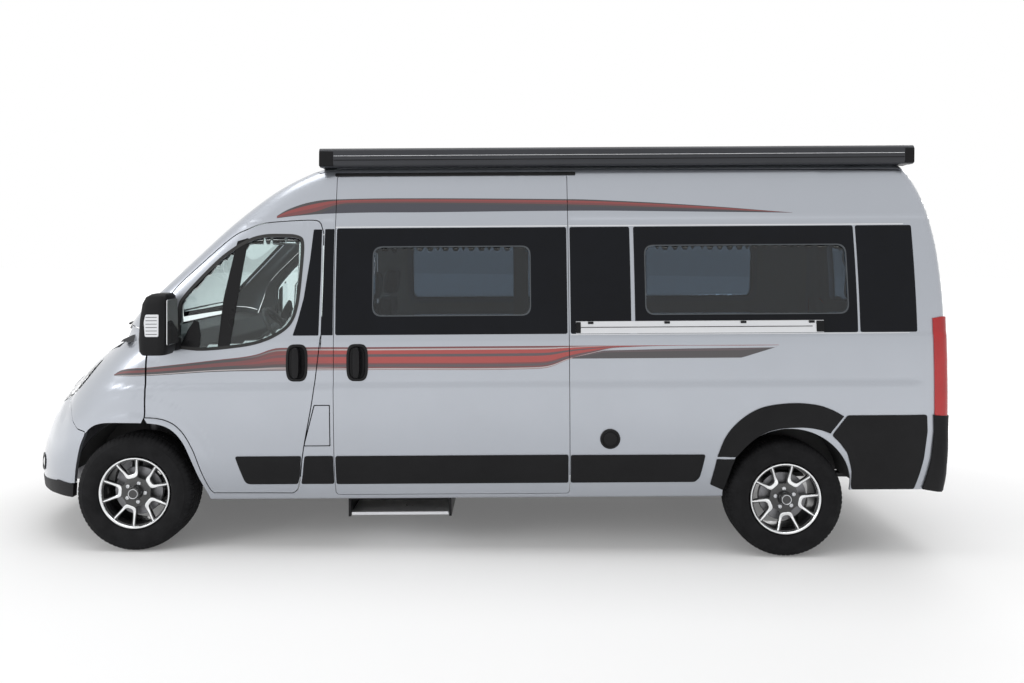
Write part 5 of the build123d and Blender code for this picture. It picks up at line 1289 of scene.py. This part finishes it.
# Mirror: height, from x to x, from y to y outboard
MIRROR_CASE = (
    (1236, -1880, -1790, 1090, 1200), (1240, -1902, -1762, 1074, 1232), (1262, -1914, -1748, 1066, 1243),
    (1330, -1916, -1742, 1062, 1248), (1450, -1908, -1740, 1062, 1248), (1545, -1892, -1740, 1066, 1246),
    (1585, -1872, -1742, 1072, 1238), (1602, -1842, -1752, 1090, 1222), (1606, -1820, -1768, 1110, 1200))
MIRROR_ARM = ((1252, -1842, -1748, 985, 1100), (1262, -1850, -1744, 982, 1100), (1318, -1846, -1746, 980, 1100),
              (1330, -1838, -1752, 984, 1100))
MIRROR_LAMP = rounded([(-1862, 1352), (-1782, 1352), (-1780, 1484), (-1858, 1484), (-1868, 1440)], 10.0)
MIRROR_FOOT = ahead_of([(300, 1264), (418, 1262), (424, 1340), (410, 1420), (385, 1430), (345, 1370)])


def sided(rows, side):
    """Rows whose last two numbers lie outboard, as rows on one side of the van."""
    return [(*row[:-2], *sorted((side * row[-2], side * row[-1]))) for row in rows]


for label, side in SIDES:
    door = f"cab_door_{label}"
    skin(f"headlamp_bowl_{label}", lamp_outline(side, -4.0), [], satin_black, slot="dark_case", lift=-44.0,
         depth=4.0, step=24.0)
    for k, (y, z, r) in enumerate(((716, 1030, 58), (655, 945, 50))):
        rings(f"headlamp_cup_{label}_{k}", (side * y, z), superellipse(r, r * 1.1, 2.2, 40),
              [(1.05, 1.05, -16), (1, 1, -14), (0.9, 0.9, -20), (0.7, 0.7, -34), (0.45, 0.45, -42)], chrome,
              view="ahead")
    stack(f"mirror_case_{label}", sided(MIRROR_CASE, side), black_plastic, door, 4.5, replaces=[f"mirror_{label}"])
    plate(f"mirror_lamp_{label}", MIRROR_LAMP, 1, *sorted((side * 1236, side * 1251)), 3.0, anodised, door)
    for k in range(6):
        z = 1368 + 20 * k
        tube(f"mirror_lamp_rib_{label}_{k}", [(-1856, side * 1250.5, z), (-1790, side * 1250.5, z)], 2.0, satin_black,
             door, 8, slot="step_metal")
    stack(f"mirror_arm_{label}", sided(MIRROR_ARM, side), black_plastic, door, 5)
    glass_corners = [(side * y, z) for y, z in ((1078, 1300), (1234, 1300), (1230, 1570), (1086, 1570))]
    plate(f"mirror_glass_{label}", rounded(glass_corners, 14.0), 0, -1742, -1738, 1.0, chrome, door)
    skin(f"mirror_foot_{label}", on_side(MIRROR_FOOT, side, 6.0), [], satin_black, door, lift=2.0, depth=7.0,
         step=24.0)
for k, (base_y, tip_y) in enumerate(((-560.0, 40.0), (60.0, 640.0))):
    for name, y0, z0, y1, z1, count, lift, radius, material in (
            ("arm", base_y, 1372, tip_y, 1415, 9, 22.0, 7.0, satin_black),
            ("blade", tip_y - 460, 1384, tip_y + 150, 1432, 12, 9.0, 5.0, rubber)):
        line = np.column_stack([np.linspace(y0, y1, count), np.linspace(z0, z1, count)])
        tube(f"wiper_{name}_{k}", seen("ahead", line, 1, lift), radius, material)

# ---------------------------------------------------------------- strips, rails and roof
for label, side in SIDES:
    for name, x, z in (("strip_front", (-806.0, 641.0), (1993.0, 2000.0)),
                       ("strip_rear", (651.0, 2740.0), (1993.0, 2000.0)),
                       ("sill", (655.0, 2740.0), (1323.0, 1328.0))):
        skin(f"window_{name}_{label}", on_side(rectangle(x, z), side), [], anodised, lift=3.2, depth=4.0,
             turn_in=1.0, step=30.0)
skin("door_track", on_side(rectangle((-822.0, 700.0), (2318.0, 2338.0)), -1, 8.0), [], satin_black, lift=6.0,
     depth=8.0, turn_in=2.0, step=20.0)
tube("rail_groove", place([(700, -1031.5, 1372), (2140, -1031.5, 1372)]) * 1000, 2.2, satin_black, level=True)
block("rail_end_front", (687, -1034, 1337), (716, -1006, 1405), 4, black_plastic)
block("rail_end_rear", (2166, -1034, 1337), (2212, -1006, 1405), 4, black_plastic)
for k, x in enumerate((760, 1230, 1700, 2120)):
    block(f"rail_bracket_{k}", (x, -1033.5, 1392), (x + 34, -1010, 1407), 2, satin_black)
(low_x, low_y, low_z), (high_x, high_y, high_z) = (np.array(c) * 1000 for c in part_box("awning"))
AWNING_FALL = 0.0157  # slope of the awning along the raked roof
for k, (x, wide) in enumerate(((low_x - 1, 90.0), (high_x - 59, 60.0))):
    rise = AWNING_FALL * (x - low_x)
    cap = rounded([(low_y - 1.5, low_z + 6 + rise), (high_y - 30, low_z + rise), (high_y - 20, high_z - 58.5 + rise),
                   (low_y + 20, high_z - 62 + rise), (low_y - 1.5, high_z - 76 + rise)], 10.0)
    plate(f"awning_cap_{k}", cap, 0, x, x + wide, 3.0, black_plastic, level=True, slot="dark_case")
for name, up, radius, material in (("lid", 44, 2.4, black_plastic), ("roll", 70, 1.6, silver_metal)):
    seam = [(low_x + 92, low_y - 0.8, low_z + up),
            (high_x - 62, low_y - 0.8, low_z + up + AWNING_FALL * (high_x - low_x - 150))]
    tube(f"awning_{name}_line", seam, radius, material, level=True, slot="dark_case")

# ---------------------------------------------------------------- tail fittings
rings("tail_handle", (62.0, 1010.0), superellipse(34, 96, 4, 48),
      [(1, 1, 0), (1, 1, 9), (0.9, 0.95, 12), (0.6, 0.85, 12), (0.5, 0.8, 4), (0.4, 0.7, 3)], satin_black,
      "tail_door_right", view="behind")
skin("rear_plate_frame", rectangle((-600, -66), (766, 890), 10.0), [], satin_black, "tail_door_left", view="behind",
     lift=4.0, depth=6.0)
skin("rear_plate", rectangle((-586, -80), (776, 880), 8.0), [], plate_white, "tail_door_left", view="behind",
     lift=6.0, depth=4.0)
block("plate_lamp", (2962, -420, 905), (2980, -250, 925), 3, satin_black, "tail_door_left")
rings("high_brake_lamp", (0.0, 2334.0), superellipse(160, 9, 5, 48), [(1, 1, -2), (1, 1, 6), (0.95, 0.7, 9)],
      red_lens, view="behind")
for label, side in SIDES:
    for k, z in enumerate((650, 1290, 2050)):
        rings(f"tail_hinge_{label}_{k}", (side * 806, z), superellipse(24, 46, 5, 40),
              [(1, 1, -1), (1, 1, 8), (0.85, 0.9, 11), (0.3, 0.5, 12)], black_plastic, view="behind")
    skin(f"tail_lamp_reverse_{label}", rectangle(sorted((side * 880, side * 948)), (1020, 1190), 10.0), [],
         plate_white, slot="lamp_lens", view="behind", lift=10.5, depth=6.0, step=14.0)

# ---------------------------------------------------------------- inner lining
for label, side in SIDES:
    cuts = [rectangle((x0 - 40, x1 + 40), (OPEN_Z[0] - 40, OPEN_Z[1] + 75), 80.0) for x0, x1 in OPENINGS.values()]
    skin(f"side_lining_{label}", rectangle((-870, 2840), (925, 2240)), cuts, lining, view="side", hand=side,
         lift=-56.0, depth=-5.0, step=45.0)
ceiling = [("ahead", [(0.1, 2190), (400, 2184), (640, 2166)]), ("side", [(FRONT + 1000, 2262), (TAIL - 300, 2262)]),
           ("behind", [(700, 2262), (0.1, 2268)])]
skin("ceiling_lining", both_sides(ceiling), [], lining, lift=-58.0, depth=-5.0, step=60.0)


# ---------------------------------------------------------------- cushions
def plump(half, power=7.0, count=72, rise=36):
    """Closed form |x/a|^p + |y/b|^p + |z/c|^p = 1 on a grid of two angles, its poles closed by fans."""
    u = around(count)
    v = np.linspace(-math.pi / 2, math.pi / 2, rise + 1)[1:-1, None]
    way = np.stack([np.cos(v) * np.cos(u), np.cos(v) * np.sin(u), np.sin(v) + 0 * u], axis=2).reshape(-1, 3)
    way = np.vstack([way, [[0, 0, -1], [0, 0, 1]]])
    size = np.sum(np.abs(way) ** power, axis=1) ** (-1 / power)
    n, last = len(v) * count, (len(v) - 1) * count
    faces = quad_rows(len(v), count).tolist()
    faces += [[(m + 1) % count, m, n] for m in range(count)]
    faces += [[last + m, last + (m + 1) % count, n + 1] for m in range(count)]
    return way * size[:, None] * half, faces


def coordinates(mesh):
    """Points of a mesh in rows."""
    flat = np.zeros(len(mesh.vertices) * 3)
    mesh.vertices.foreach_get("co", flat)
    return flat.reshape(-1, 3) * 1000


def settled(thing):
    """An object as its modifiers leave it."""
    return thing.evaluated_get(bpy.context.evaluated_depsgraph_get())


CLOTH_FRAMES = 20


def stuffed(name, size, voxel, cap):
    """Stuffed form: a plump box swollen by cloth pressure, no point moving more than cap, in mm."""
    points, faces = plump((np.array(size, float) - 2 * (cap - 4.0)) / 2)
    mesh = bpy.data.meshes.new(name)
    mesh.from_pydata((points / 1000.0).tolist(), [], faces)
    thing = linked(name, mesh)
    blocks = thing.modifiers.new("blocks", "REMESH")
    blocks.mode = "VOXEL"
    blocks.voxel_size = voxel / 1000.0
    base = bpy.data.meshes.new_from_object(settled(thing))
    thing.modifiers.clear()
    thing.data = base
    start = end = coordinates(base)
    quads = [list(f.vertices) for f in base.polygons]
    cloth = thing.modifiers.new("cloth", "CLOTH")
    for key, value in {"quality": 5, "mass": 0.3, "tension_stiffness": 15, "compression_stiffness": 15,
                       "bending_stiffness": 0.6, "use_pressure": True, "uniform_pressure_force": 4.0}.items():
        setattr(cloth.settings, key, value)
    cloth.settings.effector_weights.gravity = 0.0
    cloth.point_cache.frame_start = 1
    cloth.point_cache.frame_end = CLOTH_FRAMES
    for frame_number in range(1, CLOTH_FRAMES + 1):
        bpy.context.scene.frame_set(frame_number)
    move = coordinates(settled(thing).to_mesh()) - start
    far = np.linalg.norm(move, axis=1, keepdims=True)
    end = start + move * np.minimum(1.0, cap / np.maximum(far, 1e-6))
    bpy.context.scene.frame_set(1)
    bpy.data.objects.remove(thing)
    return end, quads


def welt_line(points, axis, level, band, bins=96):
    """Ring of the outermost points near one height across the cushion, by angle, smoothed along itself."""
    flat = [k for k in range(3) if k != axis]
    near = points[np.abs(points[:, axis] - level) < band]
    half = np.abs(near[:, flat]).max(axis=0)
    angle = np.arctan2(near[:, flat[1]] / half[1], near[:, flat[0]] / half[0])
    radius = np.hypot(near[:, flat[0]], near[:, flat[1]])
    part = ((angle + math.pi) / (2 * math.pi) * bins).astype(int) % bins
    line = np.zeros((bins, 3))
    for k in range(bins):
        here = np.flatnonzero(part == k)
        line[k] = near[here[np.argmax(radius[here])]] if len(here) else line[k - 1]
    line[:, axis] = level
    for _ in range(2):
        line = 0.5 * line + 0.25 * (np.roll(line, 1, axis=0) + np.roll(line, -1, axis=0))
    return line


def pad(name, shape, middle, material, seams, stretch=1.0, lean=0.0, replaces=()):
    """Cushion from a stuffed shape: stretched along, leaned about the width axis, set at its middle, and piped.

    The middle is given on the tipped body, so it's turned back into the level one.
    """
    points, quads = stuffed_shapes[shape]
    points = points * [stretch, 1, 1]
    axle = np.array([FRONT, 0.0, AXLE_Z])
    centre = tipped(np.array([middle], float) - axle, -RAKE)[0] + axle
    lean = -math.radians(lean)
    piece = add_mesh(name, tipped(points, lean) + centre, quads, material, replaces=replaces)
    smooth = piece.modifiers.new("smooth", "SUBSURF")
    smooth.levels = smooth.render_levels = 1
    for k, (axis, part) in enumerate(seams):
        half = np.abs(points[:, axis]).max()
        line = welt_line(points, axis, part * half, half * 0.16)
        tube(f"{name}_welt_{k}", tipped(line, lean) + centre, 3.4, welt_cloth, "body", 8, True,
             tipped(np.eye(3)[axis : axis + 1], lean)[0], slot=SLOTS[material.name])


# size, voxel, greatest move
stuffed_shapes = {name: stuffed(name, size, voxel, cap) for name, size, voxel, cap in (
    ("bench_seat", (548, 453, 122), 11.0, 12.0), ("bench_back", (550, 110, 418), 11.0, 10.0),
    ("dinette_seat", (294, 608, 122), 11.0, 10.0), ("dinette_back", (116, 606, 434), 11.0, 10.0),
    ("cab_base", (500, 496, 138), 9.0, 14.0), ("cab_back", (124, 480, 640), 9.0, 14.0),
    ("head_rest", (100, 264, 196), 8.0, 8.0))}
BOTH_FACES = ((2, 0.6), (2, -0.6))
for label, side, spots, stretch in (("left", -1, ((1473, 975.5), (2031.5, 984.5), (2590.5, 993.5)), 1.0),
                                    ("right", 1, ((1523, 976.5), (2061.5, 985), (2600.5, 993.5)), 0.965)):
    for k, (x, z) in enumerate(spots):
        pad(f"bench_seat_{label}_{k}", "bench_seat", (x, side * 572.5, z), cushion_cloth, BOTH_FACES, stretch,
            replaces=["bench_cushions"] * (side < 0 and k == 0))
        pad(f"bench_back_{label}_{k}", "bench_back", (x - 2, side * 860, z + 150), cushion_cloth,
            ((1, -side * 0.6),), stretch)
pad("dinette_seat", "dinette_seat", (-22.5, 620, 922.5), cushion_cloth, BOTH_FACES)
pad("dinette_back", "dinette_back", (185, 620, 1085.5), cushion_cloth, ((0, -0.6),))
for label, side in SIDES:
    y = side * 430.0
    pad(f"cab_seat_{label}", "cab_base", (-1050, y, 862), seat_cloth, ((2, 0.5), (2, -0.5)), lean=3.0,
        replaces=["cab_seats"] * (side < 0))
    pad(f"cab_seat_back_{label}", "cab_back", (-768, y, 1212), seat_cloth, ((0, -0.5), (0, 0.5)), lean=12.5)
    pad(f"head_rest_{label}", "head_rest", (-688, y, 1632), seat_cloth, ((0, -0.5),), lean=8.0)
    for k, dy in enumerate((-60, 60)):
        tube(f"head_rest_post_{label}_{k}", [(-712, y + dy, 1470), (-696, y + dy, 1580)], 6.0, silver_metal)
    belt_y = y - side * 262
    block(f"belt_buckle_{label}", (-900, belt_y - 12, 880), (-872, belt_y + 12, 980), 5, satin_black,
          slot="cab_trim")

# ---------------------------------------------------------------- finishes of the frame's own pieces
NODE_FINISHES = (
    (running, "floor_pan wheel_housings front_subframe rear_axle tanks"),
    (cast_metal, "engine_block knuckle_left knuckle_right"), (steel, "exhaust"), (dark_case, "awning"),
    (cabinet, "bench_boxes kitchen_unit overhead_lockers table washroom"), (cab_trim, "dashboard steering_wheel"),
    (anodised, "door_rail step_tread"), (roof_pane, "roof_lights"), (satin_black, "seat_pedestals step_frame"),
)
for material, names in NODE_FINISHES:
    for name in names.split():
        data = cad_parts[name].data
        data.materials.clear()
        data.materials.append(material)


# ---------------------------------------------------------------- floor, light and camera
def looked_at(tree):
    """1 for rays from the camera, from reflections and through glass, else 0."""
    path = node(tree, "ShaderNodeLightPath").outputs
    direct = maths(tree, "MAXIMUM", path["Is Camera Ray"], path["Is Glossy Ray"])
    return maths(tree, "MAXIMUM", direct, path["Is Transmission Ray"])


WHITE = (1, 1, 1, 1)
R = 60.0  # half of the floor's width, in metres
floor_mesh = bpy.data.meshes.new("studio_floor")
floor_mesh.from_pydata([(-R, -R, 0), (R, -R, 0), (R, R, 0), (-R, R, 0)], [], [(0, 1, 2, 3)])
floor = linked("studio_floor", floor_mesh)
pale, tree, shader, where = principled("pale_floor")
shader.inputs["Roughness"].default_value = 0.9
shader.inputs["Specular IOR Level"].default_value = 0.1
spot = node(tree, "ShaderNodeMapping", {"Vector": where, "Scale": (0.2, 0.34, 1.0)})
reach = node(tree, "ShaderNodeVectorMath", {0: spot.outputs[0]}, operation="LENGTH").outputs["Value"]
far = spread(tree, reach, 0.0, 1.0, 0.85, 1.7, interpolation_type="SMOOTHSTEP")
grey = mixed(tree, far, (0.80, 0.80, 0.80, 1), (0.3, 0.3, 0.3, 1))
tree.links.new(grey, shader.inputs["Base Color"])
glow = maths(tree, "MULTIPLY", spread(tree, far, 0.12, 1.0), looked_at(tree))
tree.links.new(glow, shader.inputs["Emission Strength"])
shader.inputs["Emission Color"].default_value = WHITE
floor_mesh.materials.append(pale)

world = bpy.data.worlds.new("studio")
bpy.context.scene.world = world
world.use_nodes = True
tree = world.node_tree
back = tree.nodes["Background"]
tree.links.new(spread(tree, looked_at(tree), 0.62, 1.0), back.inputs["Strength"])
back.inputs["Color"].default_value = WHITE

for name, at, look, size, power in (("overhead", (0, -1.0, 8.5), (0, 0, 0), (12.0, 5.0), 430),
                                    ("key", (-10.5, -7.5, 5.5), (0, 0, 1.0), (6.0, 4.0), 420),
                                    ("fill", (6.0, 7.0, 5.0), (0, 0, 1.0), (6.0, 4.0), 260)):
    lamp = bpy.data.lights.new(name, "AREA")
    lamp.shape = "RECTANGLE"
    lamp.size, lamp.size_y = size
    lamp.energy = power
    thing = linked(name, lamp)
    thing.location = at
    thing.rotation_euler = (Vector(look) - Vector(at)).to_track_quat("-Z", "Y").to_euler()

lens = bpy.data.cameras.new("view")
lens.lens = 27.42
lens.shift_x = -0.0008
lens.shift_y = -0.0874
camera = linked("view", lens)
turn = Matrix.Rotation(math.radians(90), 4, "X") @ Matrix.Rotation(math.radians(0.55), 4, "Z")
camera.matrix_world = Matrix.Translation((0.277, -5.825, 1.875)) @ turn
bpy.context.scene.camera = camera
bpy.context.scene.view_settings.view_transform = "Standard"
